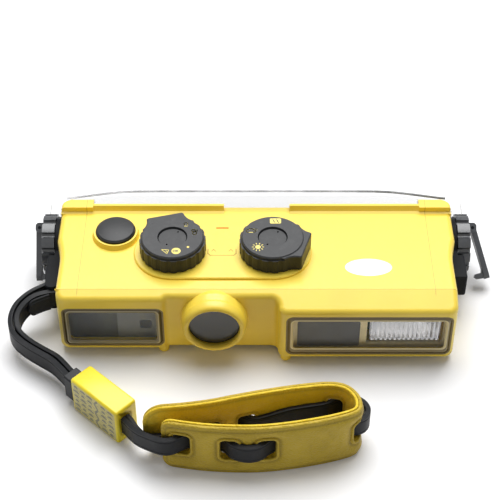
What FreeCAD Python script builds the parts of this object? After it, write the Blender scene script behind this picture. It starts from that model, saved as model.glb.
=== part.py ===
"""Waterproof film camera with a clear hinged back, two end latches and a wrist strap.

Millimetres. X runs along the camera, +Y points to the rear (the lenses look along -Y) and
z = 0 is the plane of the feet. The origin is the mouth of the tripod socket.
"""

import FreeCAD, Part
import math
import os
from FreeCAD import Vector as V

os.makedirs("parts", exist_ok=True)

# Housing
HALF_LENGTH = 91.0
END_FLARE = 2.4
END_X = HALF_LENGTH + END_FLARE
FLARE_Y = (-12.0, 4.0)
TOP_Z = 37.0
BELLY_Z = 2.5
WALL = 2.6
REAR_Y = 26.0
CREASE_Y = -30.0
HOOD_DROP_PER_MM = 0.415
FINDER_FACE_Y = -34.9
LENS_FACE_Y = -33.4
FLASH_FACE_Y = -40.6
FINDER_END_X = -40.0
FLASH_START_X = 10.0
REAR_CORNER_R = 4.8
FRONT_CORNER_R = 4.5
STEP_R = 3.0
EDGE_R = 2.7
BOTTOM_EDGE_R = 2.2
FRONT_WALL = 3.4

# Feet and tripod socket
FOOT_W = 4.8
FOOT_DEEP = 7.0
FOOT_SET_BACK = 9.0
FOOT_XS = (-HALF_LENGTH + 6.0, -43.0, 13.6, HALF_LENGTH - 5.0)
REAR_FOOT_Y = 12.0
SOCKET_R = 3.175
SOCKET_DEEP = 7.0
SOCKET_OUTER_R = 5.2
SOCKET_BOSS_WALL = 3.0

# Rim at the rear of the top
RIM_Y = 23.7
RIM_TOP_Z = 40.2
RIM_RAMP = 2.4
POST_IN_X = HALF_LENGTH - 13.0
POST_REAR_Y = 29.0
NOTCH_X0 = -15.4
NOTCH_X1 = 16.0

# Windows in the two front blocks
FINDER_WIN = (-HALF_LENGTH + 2.2, FINDER_END_X - 2.4, 4.9, 29.2)
FLASH_WIN = (FLASH_START_X + 3.4, HALF_LENGTH - 1.9, 5.0, 29.6)
WIN_CORNER_R = 3.4
WIN_LEDGE = 2.4
WIN_DEEP = 2.2
SEAL_W = 0.8
PLUG_PROUD = 0.5
PLUG_BEVEL = 1.3
FIT = 0.3
SNUG = 0.1

# Taking lens port
LENS_X = -19.2
LENS_Z = 22.0
PORT_R = 12.0
PORT_SET_BACK = 3.2
BEZEL_CREST_R = 13.9
BEZEL_BASE_R = 15.4
BEZEL_PROUD = 5.9
PORT_THICK = 1.8

# Viewfinder
FINDER_BACK_Y = FINDER_FACE_Y + FRONT_WALL
OBJECTIVE_X = -50.9
OBJECTIVE_Z = 15.6
OBJECTIVE_HALF = 2.7
TUNNEL_WALL = 0.8
MASK_Y = FINDER_BACK_Y + 1.2
MASK_T = 1.4

# Dials
DIAL_Y = -5.9
FOCUS_X = -38.6
EXPOSURE_X = 7.5
DIAL_R = 15.3
DIAL_TOP_R = 14.3
DIAL_TOP_Z = 47.0
PLATEAU_R = 18.2
PLATEAU_H = 1.2
DIAL_GAP = 0.3
DIAL_LOBES = 20
LOBE_DEPTH = 0.45
WING_DROP = 0.5
WING_R = 18.6
WING_HALF = 28.5
WING_SPREAD = 52.0
WING_WAIST = 0.7
FOCUS_WING = 105.0
EXPOSURE_WING = -17.0
CAP_R = 6.6
CAP_RECESS = 0.9
SHAFT_R = 2.5
CAM_Z0 = 27.0
CAM_T = 2.4
CAM_R = 5.0
CAM_RISE = 0.45
CAM_GAP = 0.15
RUNNING = 0.05

# Shutter button
BUTTON_X = -66.0
BUTTON_Y = 6.3
BUTTON_R = 9.1
BUTTON_EDGE_Z = 41.0
BUTTON_DOME = 1.0
DOME_STEPS = 6
COLLAR_BASE_R = 11.1
COLLAR_TOP_R = 10.3
COLLAR_Z = 39.5
BUTTON_TRAVEL = 1.5
STEM_R = 2.0
BUTTON_FLOOR_Z = TOP_Z - 0.4
SPRING_R = 4.0
SPRING_WIRE = 0.8
SPRING_POCKET = 1.9

# Clear back
BACK_GAP = 0.6
BACK_REAR_Y = 36.4
BACK_TOP_Z = 39.8
BACK_LOW_Z = 1.2
BACK_HALF = END_X - 2.4
BACK_WALL = 2.2
BACK_BEND_X = 60.0
BACK_SIDE_Y = 29.2
HINGE_Y = 28.8
HINGE_Z = 2.6
KNUCKLE_R = 2.4
HINGE_PIN_R = 1.2
HOUSING_KNUCKLES = ((-66.0, -54.0), (-6.0, 6.0), (54.0, 66.0))
BACK_KNUCKLES = ((-53.7, -32.0), (32.0, 53.7))
EAR_X = END_X + 5.6
EAR_Y = (22.0, 31.0)
EAR_Z = (33.4, 36.4)
GASKET_INSET = 4.0
GASKET_W = 1.35
GASKET_PROUD = 0.45

# End latches
KNOB_Y = 20.7
KNOB_Z = 18.5
KNOB_R = 14.3
KNOB_SCALLOPS = 12
SCALLOP_DEPTH = 1.6
BASE_THICK = 2.8
BASE_R = 13.0
ARM_FRONT_Y = -9.0
ARM_HALF_Z = 6.0
ARM_THICK = 5.9
KNOB_THICK = 6.0
KNOB_X0 = END_X + BASE_THICK + FIT
KNOB_X1 = KNOB_X0 + KNOB_THICK
LATCH_SHAFT_R = 3.0
LEVER_ANGLE = 225.0
LEVER_PIVOT = 7.4
LEVER_LENGTH = 25.6
LEVER_W = 6.4
LEVER_T = 2.6
LEVER_KNUCKLE_R = 1.9
LEVER_PIN_R = 0.8
LEVER_EAR_T = 1.8
RIGHT_LEVER_OPEN = 16.0
LEVER_LIFT = 2.3
LEVER_FOOT_REACH = 4.6
LEVER_FOOT_W = 3.0
CLAW_R = 9.6
CLAW_X0 = HALF_LENGTH - 11.4
CLAW_X1 = HALF_LENGTH - 9.6
CLAW_FROM = -24.0
CLAW_TO = 2.0
CATCH_X0 = HALF_LENGTH - 15.0
CATCH_X1 = HALF_LENGTH - 12.6
STUD_Y = 18.2
STUD_Z = 26.6
STUD_R = 1.4

# Film chamber and chassis
GATE_X = LENS_X
FILM_X0 = -46.0
FILM_X1 = 12.0
FILM_WELL = 19.0
FILM_Y0 = 6.0
FILM_PLANE_Y = 17.0
FILM_REAR_Y = 25.0
GATE_W = 17.0
GATE_H = 13.0
CHASSIS_WALL = 1.2
FLOOR_Z = BELLY_Z + WALL
CEILING_Z = TOP_Z - WALL - 0.4

# Lens carriage, shutter box and aperture slider
BARREL_R = 8.5
BARREL_FRONT_Y = -27.4
BRACKET_Y = (BARREL_FRONT_Y + 3.4, BARREL_FRONT_Y + 10.4)
FOLLOWER_T = 2.0
LENS_R = 6.4
APERTURE_Y = -6.4
APERTURE_T = 1.0
SHUTTER_X0 = -31.4
SHUTTER_X1 = -3.0

# Flash unit and battery
FLASH_BACK_Y = FLASH_FACE_Y + FRONT_WALL
TRIM_T = 1.2
TRIM_GAP = 0.3
LAMP_WIN = (HALF_LENGTH - 40.6, HALF_LENGTH - 5.6, 9.8, 25.6)
PLATE_WIN = (FLASH_START_X + 8.7, LAMP_WIN[0] - 3.2, 10.3, 24.7)
REFLECTOR_DEEP = 11.0
BATTERY_R = 7.1
BATTERY_X0 = 20.0
BATTERY_L = HALF_LENGTH - 20.5 - BATTERY_X0
TRAY_X1 = BATTERY_X0 + BATTERY_L + 5.0
BATTERY_Y = 14.5
BATTERY_Z = FLOOR_Z + BATTERY_R + 1.6
CAPACITOR_R = 6.0
CAPACITOR_X0 = BATTERY_X0 + 10.0
CAPACITOR_L = 34.0
BOARD_X0 = FLASH_START_X + 8.0
BOARD_X1 = HALF_LENGTH - 10.0
BOARD_T = 1.2

# Film advance lever under the belly
ADVANCE_X = -HALF_LENGTH + 29.0
ADVANCE_Y = -6.0
ADVANCE_L = 24.0
ADVANCE_W = 7.0
ADVANCE_T = 1.5
ADVANCE_SHAFT_R = 2.0

# Strap
BAND_H = 10.0
BAND_T = 2.3
LUG_X = -HALF_LENGTH - 4.4
LUG_Y = -13.6
LUG_PIN_R = 1.5
LOOP_START = -78.0
LOOP_END = 118.0
EAR_T = 1.7
PAD_H = 29.0
PAD_T = 3.0
TAG_LENGTH = 29.6
TAG_W = 9.6
TAG_H = 20.0
LUG_LIFT = 18.2
TAG_START = (-78.0, -65.9)
TAG_END = (-56.1, -86.6)
STRAND_HALF_GAP = 1.35
PAD_BACK = ((-48.5, -93.2), (-36.0, -92.2), (-21.5, -90.2), (-8.0, -86.6), (6.0, -83.4), (20.0, -80.8), (32.0, -79.4), (38.6, -81.2),
            (42.6, -86.4), (43.4, -91.2))
PAD_FRONT = ((-40.2, -99.9), (-28.0, -102.6), (-12.0, -104.0), (2.0, -104.0), (16.0, -102.0), (28.0, -99.4), (37.0, -96.8), (42.4, -94.4),
             (43.4, -91.2))
PAD_SLOTS = ((-29.0, -102.4, 15.2, 0), (-15.0, -103.8, 15.6, 0), (8.6, -103.2, 15.6, 0), (42.6, -92.6, 16.0, 60),
             (34.6, -79.8, 18.0, 0), (-4.8, -85.9, 10.9, 0), (-19.6, -89.6, 10.5, 0))
SLOT_W = 8.0
SLOT_H = 12.6

# Route of the strap band: its middle, from the lug out to the pad and back, chosen by hand
# with the lug's pin at X = ROUTE_LUG_X; STRAP_MOVE takes the strap along with the lug
ROUTE_LUG_X = -94.8
STRAP_MOVE = LUG_X - ROUTE_LUG_X
STRAP_ROUTE = (
    (-96.18, -11.0, 18.2), (-101.6, -13.88, 18.0), (-107.4, -17.2, 16.9), (-112.2, -22.4, 15.2), (-114.0, -29.6, 13.0),
    (-111.9, -36.8, 11.2), (-105.9, -42.4, 10.4), (-98.6, -47.6, 10.2), (-92.2, -52.0, 10.2), (-87.6, -57.4, 10.3),
    (-83.6, -62.4, 10.3), (-78.2, -67.6, 10.3), (-71.7, -73.8, 10.3), (-64.4, -80.6, 10.3), (-57.0, -87.6, 10.4),
    (-54.0, -93.0, 11.4), (-50.6, -98.4, 12.6), (-45.0, -102.2, 13.6), (-38.6, -104.3, 14.4), (-33.0, -105.0, 15.0),
    (-28.8, -102.4, 15.2), (-24.6, -99.9, 15.4), (-19.4, -100.0, 15.5), (-15.0, -103.4, 15.6), (-10.4, -106.8, 15.6),
    (-3.4, -108.0, 15.6), (4.0, -107.0, 15.6), (8.6, -103.0, 15.6), (13.4, -99.2, 15.6), (22.4, -97.1, 15.7),
    (31.4, -94.6, 15.8), (37.8, -92.2, 15.9), (43.2, -92.6, 16.0), (47.4, -90.4, 16.2), (49.0, -85.8, 16.6), (47.4, -80.8, 17.0),
    (43.2, -77.2, 17.4), (38.4, -76.8, 17.8), (34.4, -79.6, 18.0), (29.6, -82.6, 17.8), (21.6, -84.0, 16.6),
    (12.6, -85.6, 14.6), (3.6, -87.6, 12.4), (-0.8, -88.0, 11.4), (-5.0, -85.6, 10.8), (-9.4, -83.2, 10.5), (-14.8, -84.8, 10.4),
    (-19.6, -89.6, 10.4), (-24.6, -94.0, 10.6), (-33.0, -96.1, 10.9), (-41.0, -97.0, 11.0), (-47.4, -97.1, 10.9),
    (-51.6, -92.8, 10.7), (-55.2, -85.8, 10.4),
    (-62.5, -78.8, 10.3), (-69.9, -71.7, 10.3), (-76.4, -65.6, 10.3), (-81.8, -60.4, 10.3), (-85.6, -55.4, 10.3),
    (-90.0, -49.9, 10.2), (-96.9, -45.4, 10.2), (-104.0, -40.3, 10.4), (-109.3, -35.3, 11.4), (-110.9, -30.4, 13.0),
    (-110.3, -26.2, 14.6), (-107.4, -21.8, 16.4), (-103.0, -18.9, 17.6), (-98.1, -17.32, 18.15), (-94.19, -16.49, 18.2))
TAIL_ROUTE = ((-95.6, -19.1, 18.1), (-101.2, -20.7, 17.6), (-105.9, -23.3, 16.6))
TAIL_T = 1.5


def face_of(points):
    """A flat face from points, where a triple (a, b, c) of points is an arc from a through b to c."""
    edges = []
    last = None
    first = None
    for item in points:
        if isinstance(item, tuple):
            a, b, c = item
            if last is not None and last.distanceToPoint(a) > 1e-6:
                edges.append(Part.LineSegment(last, a).toShape())
            edges.append(Part.Arc(a, b, c).toShape())
            first = first or a
            last = c
        else:
            if last is not None and last.distanceToPoint(item) > 1e-6:
                edges.append(Part.LineSegment(last, item).toShape())
            first = first or item
            last = item
    if last.distanceToPoint(first) > 1e-6:
        edges.append(Part.LineSegment(last, first).toShape())
    return Part.Face(Part.Wire(edges))


def prism_x(points, x0, x1):
    """A prism along X from points given as (y, z)."""
    return face_of([V(x0, y, z) for y, z in points]).extrude(V(x1 - x0, 0, 0))


def prism_z(points, z0, z1):
    """A prism along Z from points given as (x, y)."""
    return face_of([V(x, y, z0) for x, y in points]).extrude(V(0, 0, z1 - z0))


def prism_y(points, y0, y1):
    """A prism along Y from points given as (x, z)."""
    return face_of([V(x, y0, z) for x, z in points]).extrude(V(0, y1 - y0, 0))


def box(x0, x1, y0, y1, z0, z1):
    return Part.makeBox(x1 - x0, y1 - y0, z1 - z0, V(x0, y0, z0))


def cylinder(r, start, end):
    along = V(*end) - V(*start)
    return Part.makeCylinder(r, along.Length, V(*start), along)


def tube(r_out, r_in, start, end):
    return cylinder(r_out, start, end).cut(cylinder(r_in, start, end))


def arc_points(cx, cy, r, a0, a1):
    """Start, middle and end of an arc, as (x, y) pairs."""
    return [
        (cx + r * math.cos(math.radians(a)), cy + r * math.sin(math.radians(a)))
        for a in (a0, 0.5 * (a0 + a1), a1)
    ]


def plate_y(x0, x1, z0, z1, r, y0, y1):
    """A rounded rectangle in X and Z, extruded along Y."""
    corners = ((x1 - r, z1 - r, 0, 90), (x0 + r, z1 - r, 90, 180), (x0 + r, z0 + r, 180, 270), (x1 - r, z0 + r, 270, 360))
    arcs = []
    for cx, cz, a0, a1 in corners:
        arcs.append(tuple(V(x, y0, z) for x, z in arc_points(cx, cz, r, a0, a1)))
    return face_of(arcs).extrude(V(0, y1 - y0, 0))


def turned(profile, centre, axis, start):
    """A solid of revolution: profile gives (radius, height) points, with heights along the axis."""
    points = [centre + start * r + axis * h for r, h in profile]
    return face_of(points).revolve(centre, axis, 360)


def turned_z(profile, x, y):
    return turned(profile, V(x, y, 0), V(0, 0, 1), V(1, 0, 0))


def turned_y(profile, x, z):
    return turned(profile, V(x, 0, z), V(0, 1, 0), V(1, 0, 0))


def turned_x(profile, y, z):
    return turned(profile, V(0, y, z), V(1, 0, 0), V(0, 1, 0))


def fuse(shapes):
    result = shapes[0].fuse(shapes[1:])
    return result.removeSplitter()


def cut(shape, tools):
    return shape.cut(Part.makeCompound(tools))


def round_edges(shape, radius, wanted):
    """Fillets the edges whose box centre passes the test."""
    edges = [e for e in shape.Edges if wanted(e)]
    return shape.makeFillet(radius, edges)


def bevel_edges(shape, size, wanted):
    """Chamfers the edges that pass the test."""
    return shape.makeChamfer(size, [e for e in shape.Edges if wanted(e)])


def mirrored(shape):
    return shape.mirror(V(0, 0, 0), V(1, 0, 0))


def save(name, shape):
    """Writes one node and prints a line about it."""
    solids = shape.Solids
    kept = solids[0] if len(solids) == 1 else Part.makeCompound(solids)
    kept.exportStep("parts/%s.step" % name)
    print(name, len(solids), "solid(s)", round(kept.Volume, 1), "mm3", kept.isValid())


def hood_z(y):
    """Height of the sloping hood in front of the crease."""
    return TOP_Z + (y - CREASE_Y) * HOOD_DROP_PER_MM


def plan_outline(inset=0.0, inset_front=0.0):
    """Plan of the housing as (x, y) points and arcs; it can be drawn inset for the cavity."""
    end_x = HALF_LENGTH - inset
    rear_x = end_x if inset else END_X
    rear = REAR_Y + (1.0 if inset else 0.0)
    finder, lens, flash = (y + inset_front for y in (FINDER_FACE_Y, LENS_FACE_Y, FLASH_FACE_Y))
    corner = FRONT_CORNER_R - 0.6 * inset
    rear_r = REAR_CORNER_R - inset
    finder_end = FINDER_END_X - inset
    flash_start = FLASH_START_X + inset
    shallow = abs(finder - lens)
    run = math.sqrt(4 * STEP_R * shallow - shallow ** 2)
    half = 0.5 * math.degrees(math.asin(run / (2 * STEP_R)))
    deep_r = 0.5 * (lens - flash)
    flare_mid = (end_x + 0.25 * (rear_x - end_x), 0.5 * sum(FLARE_Y))
    flare = [(end_x, FLARE_Y[0]), flare_mid, (rear_x, FLARE_Y[1])] if rear_x > end_x else None
    items = [
        tuple(arc_points(-rear_x + rear_r, rear - rear_r, rear_r, 90, 180)),
        tuple(arc_points(-end_x + corner, finder + corner, corner, 180, 270)),
        tuple(arc_points(finder_end - run, finder + STEP_R, STEP_R, 270, 270 + 2 * half)),
        tuple(arc_points(finder_end, lens - STEP_R, STEP_R, 90 + 2 * half, 90)),
        tuple(arc_points(flash_start - deep_r, lens - deep_r, deep_r, 90, 0)),
        tuple(arc_points(flash_start + deep_r, lens - deep_r, deep_r, 180, 270)),
        tuple(arc_points(end_x - corner, flash + corner, corner, 270, 360)),
        tuple(arc_points(rear_x - rear_r, rear - rear_r, rear_r, 0, 90)),
    ]
    if flare:
        items.insert(1, tuple((-x, y) for x, y in reversed(flare)))
        items.insert(-1, tuple(flare))
    return items


def plan_prism(items, z0, z1):
    arcs = [tuple(V(x, y, z0) for x, y in arc) for arc in items]
    return face_of(arcs).extrude(V(0, 0, z1 - z0))


def below_hood(drop=0.0):
    """Everything under the flat top and the hood, lowered by drop."""
    far = 200.0
    top = TOP_Z - drop
    low_y = -80.0
    low_z = top + (low_y - CREASE_Y) * HOOD_DROP_PER_MM
    return prism_x([(far, -far), (low_y, -far), (low_y, low_z), (CREASE_Y, top), (far, top)], -far, far)


def housing_outer():
    """The moulded body with its rounded top, hood, ends and belly."""
    body = plan_prism(plan_outline(), BELLY_Z, TOP_Z).common(below_hood())

    def top_edge(e):
        b = e.BoundBox
        in_front = b.YMin < CREASE_Y - 0.2 and b.YMax < CREASE_Y + 0.01
        at_end = b.ZMin > TOP_Z - 0.1 and b.YLength > 0.01
        return b.ZMin > LENS_Z and (in_front or at_end)

    def bottom_edge(e):
        b = e.BoundBox
        return b.ZMax < BELLY_Z + 0.01 and b.YMin < REAR_Y - 0.01

    body = round_edges(body, EDGE_R, top_edge)
    return round_edges(body, BOTTOM_EDGE_R, bottom_edge)


def bezel():
    """The cone round the taking lens, with a rounded crest."""
    face = LENS_FACE_Y
    crest = face - BEZEL_PROUD
    inner = PORT_R + SEAL_W
    mid = 0.5 * (inner + BEZEL_CREST_R)
    half = 0.5 * (BEZEL_CREST_R - inner)
    axis = V(0, 1, 0)
    centre = V(LENS_X, 0, LENS_Z)

    def at(r, y):
        return centre + V(r, 0, 0) + axis * y

    outline = [
        at(0, face + 4.0),
        at(BEZEL_BASE_R - 0.8, face + 4.0),
        at(BEZEL_BASE_R, face),
        at(BEZEL_BASE_R - 0.4, crest + 2.4),
        (at(BEZEL_CREST_R, crest + half), at(mid, crest), at(inner, crest + half)),
        at(inner, crest + PORT_SET_BACK - 0.6),
        at(0, crest + PORT_SET_BACK - 0.6),
    ]
    return face_of(outline).revolve(centre, axis, 360)


def dial_plateau():
    """The low stadium that both dials stand on."""
    z0 = TOP_Z - 0.5
    z1 = TOP_Z + PLATEAU_H
    y0 = DIAL_Y - PLATEAU_R
    y1 = DIAL_Y + PLATEAU_R
    left = (V(FOCUS_X, y1, z0), V(FOCUS_X - PLATEAU_R, DIAL_Y, z0), V(FOCUS_X, y0, z0))
    right = (V(EXPOSURE_X, y0, z0), V(EXPOSURE_X + PLATEAU_R, DIAL_Y, z0), V(EXPOSURE_X, y1, z0))
    plate = face_of([left, right]).extrude(V(0, 0, z1 - z0))
    return bevel_edges(plate, 0.4, lambda e: e.BoundBox.ZMin > z1 - 0.01)


def button_collar():
    return turned_z([(0, TOP_Z - 0.5), (COLLAR_BASE_R, TOP_Z - 0.5), (COLLAR_BASE_R, TOP_Z),
                     (COLLAR_TOP_R, COLLAR_Z), (0, COLLAR_Z)], BUTTON_X, BUTTON_Y)


def rear_rim():
    """The raised rim along the rear of the top, with its end posts and the notch."""
    slope = RIM_TOP_Z - TOP_Z
    wall = prism_x([(RIM_Y - RIM_RAMP, TOP_Z - 3.0), (RIM_Y - RIM_RAMP, TOP_Z), (RIM_Y - 0.4 * RIM_RAMP, TOP_Z + 0.22 * slope),
                    (RIM_Y, RIM_TOP_Z), (REAR_Y, RIM_TOP_Z), (REAR_Y, TOP_Z - 3.0)], -END_X, END_X)
    wall = wall.common(plan_prism(plan_outline(), 0, RIM_TOP_Z + 1))
    outer_top = [e for e in wall.Edges if e.BoundBox.ZMin > RIM_TOP_Z - 0.01 and e.BoundBox.YMax > RIM_Y + 1.5]
    wall = wall.makeFillet(1.5, outer_top)
    notch = box(NOTCH_X0, NOTCH_X1, RIM_Y - RIM_RAMP - 1, REAR_Y + 1, TOP_Z, RIM_TOP_Z + 1)
    posts = []
    for side in (-1, 1):
        xa, xb = sorted((side * POST_IN_X, side * (END_X - 0.3)))
        post = box(xa, xb, REAR_Y - 3.6, POST_REAR_Y, TOP_Z + 0.4, RIM_TOP_Z)
        corner = [e for e in post.Edges if e.BoundBox.ZLength > 1 and e.BoundBox.YMin > POST_REAR_Y - 0.01
                  and abs(e.BoundBox.XMin) > HALF_LENGTH - 2]
        post = post.makeFillet(REAR_CORNER_R, corner)
        top = [e for e in post.Edges if e.BoundBox.YMax > POST_REAR_Y - 0.01 and e.BoundBox.ZMin > RIM_TOP_Z - 0.01
               and e.BoundBox.XLength > 1]
        posts.append(post.makeFillet(1.4, top))
    return wall.cut(notch), posts


def latch_bosses():
    """Flat round seats for the latch bases, which fill the rounded rear corners."""
    shapes = []
    for side in (-1, 1):
        disc = cylinder(BASE_R - 0.6, (side * (HALF_LENGTH - 5), KNOB_Y, KNOB_Z), (side * END_X, KNOB_Y, KNOB_Z))
        shapes.append(disc.common(box(-100, 100, -50, REAR_Y, BELLY_Z, TOP_Z)))
    return shapes


def feet():
    """Small pads with round ends; the outer front ones stand further back, under the body."""
    shapes = []
    half = FOOT_W / 2
    for x in FOOT_XS:
        set_back = FOOT_SET_BACK if abs(x) > HALF_LENGTH - 10 else 0.3
        front = (FINDER_FACE_Y if x < 0 else FLASH_FACE_Y) + set_back
        for y0 in (front, REAR_FOOT_Y):
            y1 = y0 + FOOT_DEEP
            near = tuple(V(a, b, 0) for a, b in arc_points(x, y0 + half, half, 180, 360))
            far = tuple(V(a, b, 0) for a, b in arc_points(x, y1 - half, half, 0, 180))
            foot = face_of([near, far]).extrude(V(0, 0, BELLY_Z + 2.0))
            shapes.append(bevel_edges(foot, 0.8, lambda e: e.BoundBox.ZMax < 0.01))
    return shapes


def socket_boss():
    r = SOCKET_OUTER_R + SOCKET_BOSS_WALL
    return cylinder(r, (0, 0, 0), (0, 0, BELLY_Z + 8.0))


def window_cut(win, face_y):
    """Seat for a window plug: the seam outline to the ledge, then the smaller clear opening."""
    x0, x1, z0, z1 = win
    wide = plate_y(x0, x1, z0, z1, WIN_CORNER_R, face_y - 2, face_y + WIN_DEEP)
    g = WIN_LEDGE
    through = plate_y(x0 + g, x1 - g, z0 + g, z1 - g, WIN_CORNER_R - 1, face_y, face_y + FRONT_WALL + 6)
    return [wide, through]


def housing_cavity():
    """The inside of the housing, open to the rear."""
    inner = plan_prism(plan_outline(WALL, FRONT_WALL), BELLY_Z + WALL, TOP_Z - WALL)
    return inner.common(below_hood(WALL + 0.4))


def hinge_barrels(spans, reach_y, reach_z):
    """Hinge knuckles along X with a web to the piece that carries them."""
    shapes = []
    for x0, x1 in spans:
        barrel = cylinder(KNUCKLE_R, (x0, HINGE_Y, HINGE_Z), (x1, HINGE_Y, HINGE_Z))
        y0, y1 = sorted((HINGE_Y, reach_y))
        web = box(x0, x1, y0, y1, HINGE_Z - KNUCKLE_R + 0.4, reach_z)
        shapes.append(barrel.fuse(web))
    return shapes


def housing_shell():
    rim, posts = rear_rim()
    solid = fuse([housing_outer(), bezel(), dial_plateau(), button_collar(), rim, socket_boss()]
                 + posts + feet() + latch_bosses() + hinge_barrels(HOUSING_KNUCKLES, REAR_Y - 1.5, HINGE_Z + 0.8))
    cavity = housing_cavity()
    keep = [cylinder(SOCKET_OUTER_R + SOCKET_BOSS_WALL, (0, 0, 0), (0, 0, BELLY_Z + 8.0))]
    cavity = cavity.cut(Part.makeCompound(keep))
    tools = [cavity]
    tools += window_cut(FINDER_WIN, FINDER_FACE_Y)
    tools += window_cut(FLASH_WIN, FLASH_FACE_Y)
    port_y = LENS_FACE_Y - BEZEL_PROUD + PORT_SET_BACK - 0.6
    tools.append(cylinder(PORT_R + SEAL_W, (LENS_X, port_y - 0.1, LENS_Z), (LENS_X, port_y + PORT_THICK + 0.3, LENS_Z)))
    tools.append(cylinder(PORT_R - 1.6, (LENS_X, port_y, LENS_Z), (LENS_X, port_y + 9, LENS_Z)))
    for x in (FOCUS_X, EXPOSURE_X):
        tools.append(cylinder(SHAFT_R + RUNNING, (x, DIAL_Y, TOP_Z - 9), (x, DIAL_Y, TOP_Z + 5)))
    tools.append(cylinder(BUTTON_R + FIT, (BUTTON_X, BUTTON_Y, BUTTON_FLOOR_Z), (BUTTON_X, BUTTON_Y, COLLAR_Z + 1)))
    tools.append(cylinder(STEM_R + RUNNING, (BUTTON_X, BUTTON_Y, TOP_Z - 9), (BUTTON_X, BUTTON_Y, TOP_Z + 1)))
    tools.append(cylinder(SOCKET_OUTER_R, (0, 0, -1), (0, 0, SOCKET_DEEP + 0.8)))
    tools.append(cylinder(HINGE_PIN_R, (-HALF_LENGTH, HINGE_Y, HINGE_Z), (HALF_LENGTH, HINGE_Y, HINGE_Z)))
    tools.append(cylinder(ADVANCE_SHAFT_R + RUNNING, (ADVANCE_X, ADVANCE_Y, 0), (ADVANCE_X, ADVANCE_Y, FLOOR_Z + 1)))
    for side in (-1, 1):
        tools.append(cylinder(LATCH_SHAFT_R + RUNNING, (side * (HALF_LENGTH - 10), KNOB_Y, KNOB_Z), (side * (END_X + 1), KNOB_Y, KNOB_Z)))
    return cut(solid, tools)


def window_plug(win, face_y):
    """A clear plug with a bevelled front edge, seated on the ledge."""
    x0, x1, z0, z1 = win
    g = SEAL_W
    proud = face_y - PLUG_PROUD
    plug = plate_y(x0 + g, x1 - g, z0 + g, z1 - g, WIN_CORNER_R - g, proud, face_y + WIN_DEEP)
    front = [e for e in plug.Edges if e.BoundBox.YMax < proud + 0.01]
    return plug.makeChamfer(PLUG_BEVEL, front)


def window_seal(win, face_y):
    """The thin dark seal between a plug and the housing."""
    x0, x1, z0, z1 = win
    g = SEAL_W
    outer = plate_y(x0, x1, z0, z1, WIN_CORNER_R, face_y + 0.2, face_y + WIN_DEEP)
    return outer.cut(plate_y(x0 + g, x1 - g, z0 + g, z1 - g, WIN_CORNER_R - g, face_y - 1, face_y + WIN_DEEP + 1))


def port_pieces():
    """The round dark glass over the taking lens and its sealing ring."""
    y0 = LENS_FACE_Y - BEZEL_PROUD + PORT_SET_BACK - 2.2
    y1 = LENS_FACE_Y - BEZEL_PROUD + PORT_SET_BACK - 0.6 + PORT_THICK + 0.3
    ring_y = y1 - 0.3 - 1.0
    glass = turned_y([(0, y0), (PORT_R - 0.6, y0), (PORT_R - 0.1, y0 + 0.5), (PORT_R - 0.1, y1), (0, y1)], LENS_X, LENS_Z)
    ring = tube(PORT_R + SEAL_W, PORT_R - 0.1, (LENS_X, ring_y, LENS_Z), (LENS_X, y1, LENS_Z))
    return glass, ring


def finder_pieces():
    """Dark mask behind the finder window, the finder tunnel, and its two lenses."""
    x0, x1, z0, z1 = FINDER_WIN
    g = WIN_LEDGE - 1.4
    mask = plate_y(x0 + g, x1 - g - 2.4, z0 + g, z1 - g, WIN_CORNER_R - 1, MASK_Y, MASK_Y + MASK_T)
    step_x = -64.0
    grey_plate = box(step_x, x1 - WIN_LEDGE - 0.6, MASK_Y - 0.9, MASK_Y + 0.3, z0 + WIN_LEDGE, z1 - WIN_LEDGE)
    rear_y = FILM_REAR_Y + 1.0
    h = OBJECTIVE_HALF
    t = h + TUNNEL_WALL
    tunnel = box(OBJECTIVE_X - t, OBJECTIVE_X + t, MASK_Y, rear_y, OBJECTIVE_Z - t, OBJECTIVE_Z + t)
    seat = plate_y(OBJECTIVE_X - h - 0.1, OBJECTIVE_X + h + 0.1, OBJECTIVE_Z - h - 0.1, OBJECTIVE_Z + h + 0.1, 1.5,
                   MASK_Y - 3, rear_y + 1)
    mask = fuse([mask, grey_plate, tunnel]).cut(seat)
    objective = plate_y(OBJECTIVE_X - h, OBJECTIVE_X + h, OBJECTIVE_Z - h, OBJECTIVE_Z + h, 1.4, MASK_Y - 0.7, MASK_Y + 1.3)
    eyepiece = plate_y(OBJECTIVE_X - h, OBJECTIVE_X + h, OBJECTIVE_Z - h, OBJECTIVE_Z + h, 1.4, rear_y - 1.6, rear_y)
    return mask, objective, eyepiece


def knurl_disc(r, lobes, depth, z0, z1, x, y):
    """A dial rim with shallow round scallops, as an outline of arcs."""
    step = 360.0 / lobes
    arcs = []
    for i in range(lobes):
        a0 = i * step
        land = step * 0.45
        start, mid, end = ((r, a0), (r, a0 + land / 2), (r, a0 + land))
        arcs.append([start, mid, end])
        arcs.append([end, (r - depth, a0 + land + (step - land) / 2), (r, a0 + step)])
    out = []
    for arc in arcs:
        out.append(tuple(V(x + q * math.cos(math.radians(a)), y + q * math.sin(math.radians(a)), z0) for q, a in arc))
    return face_of(out).extrude(V(0, 0, z1 - z0))


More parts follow.
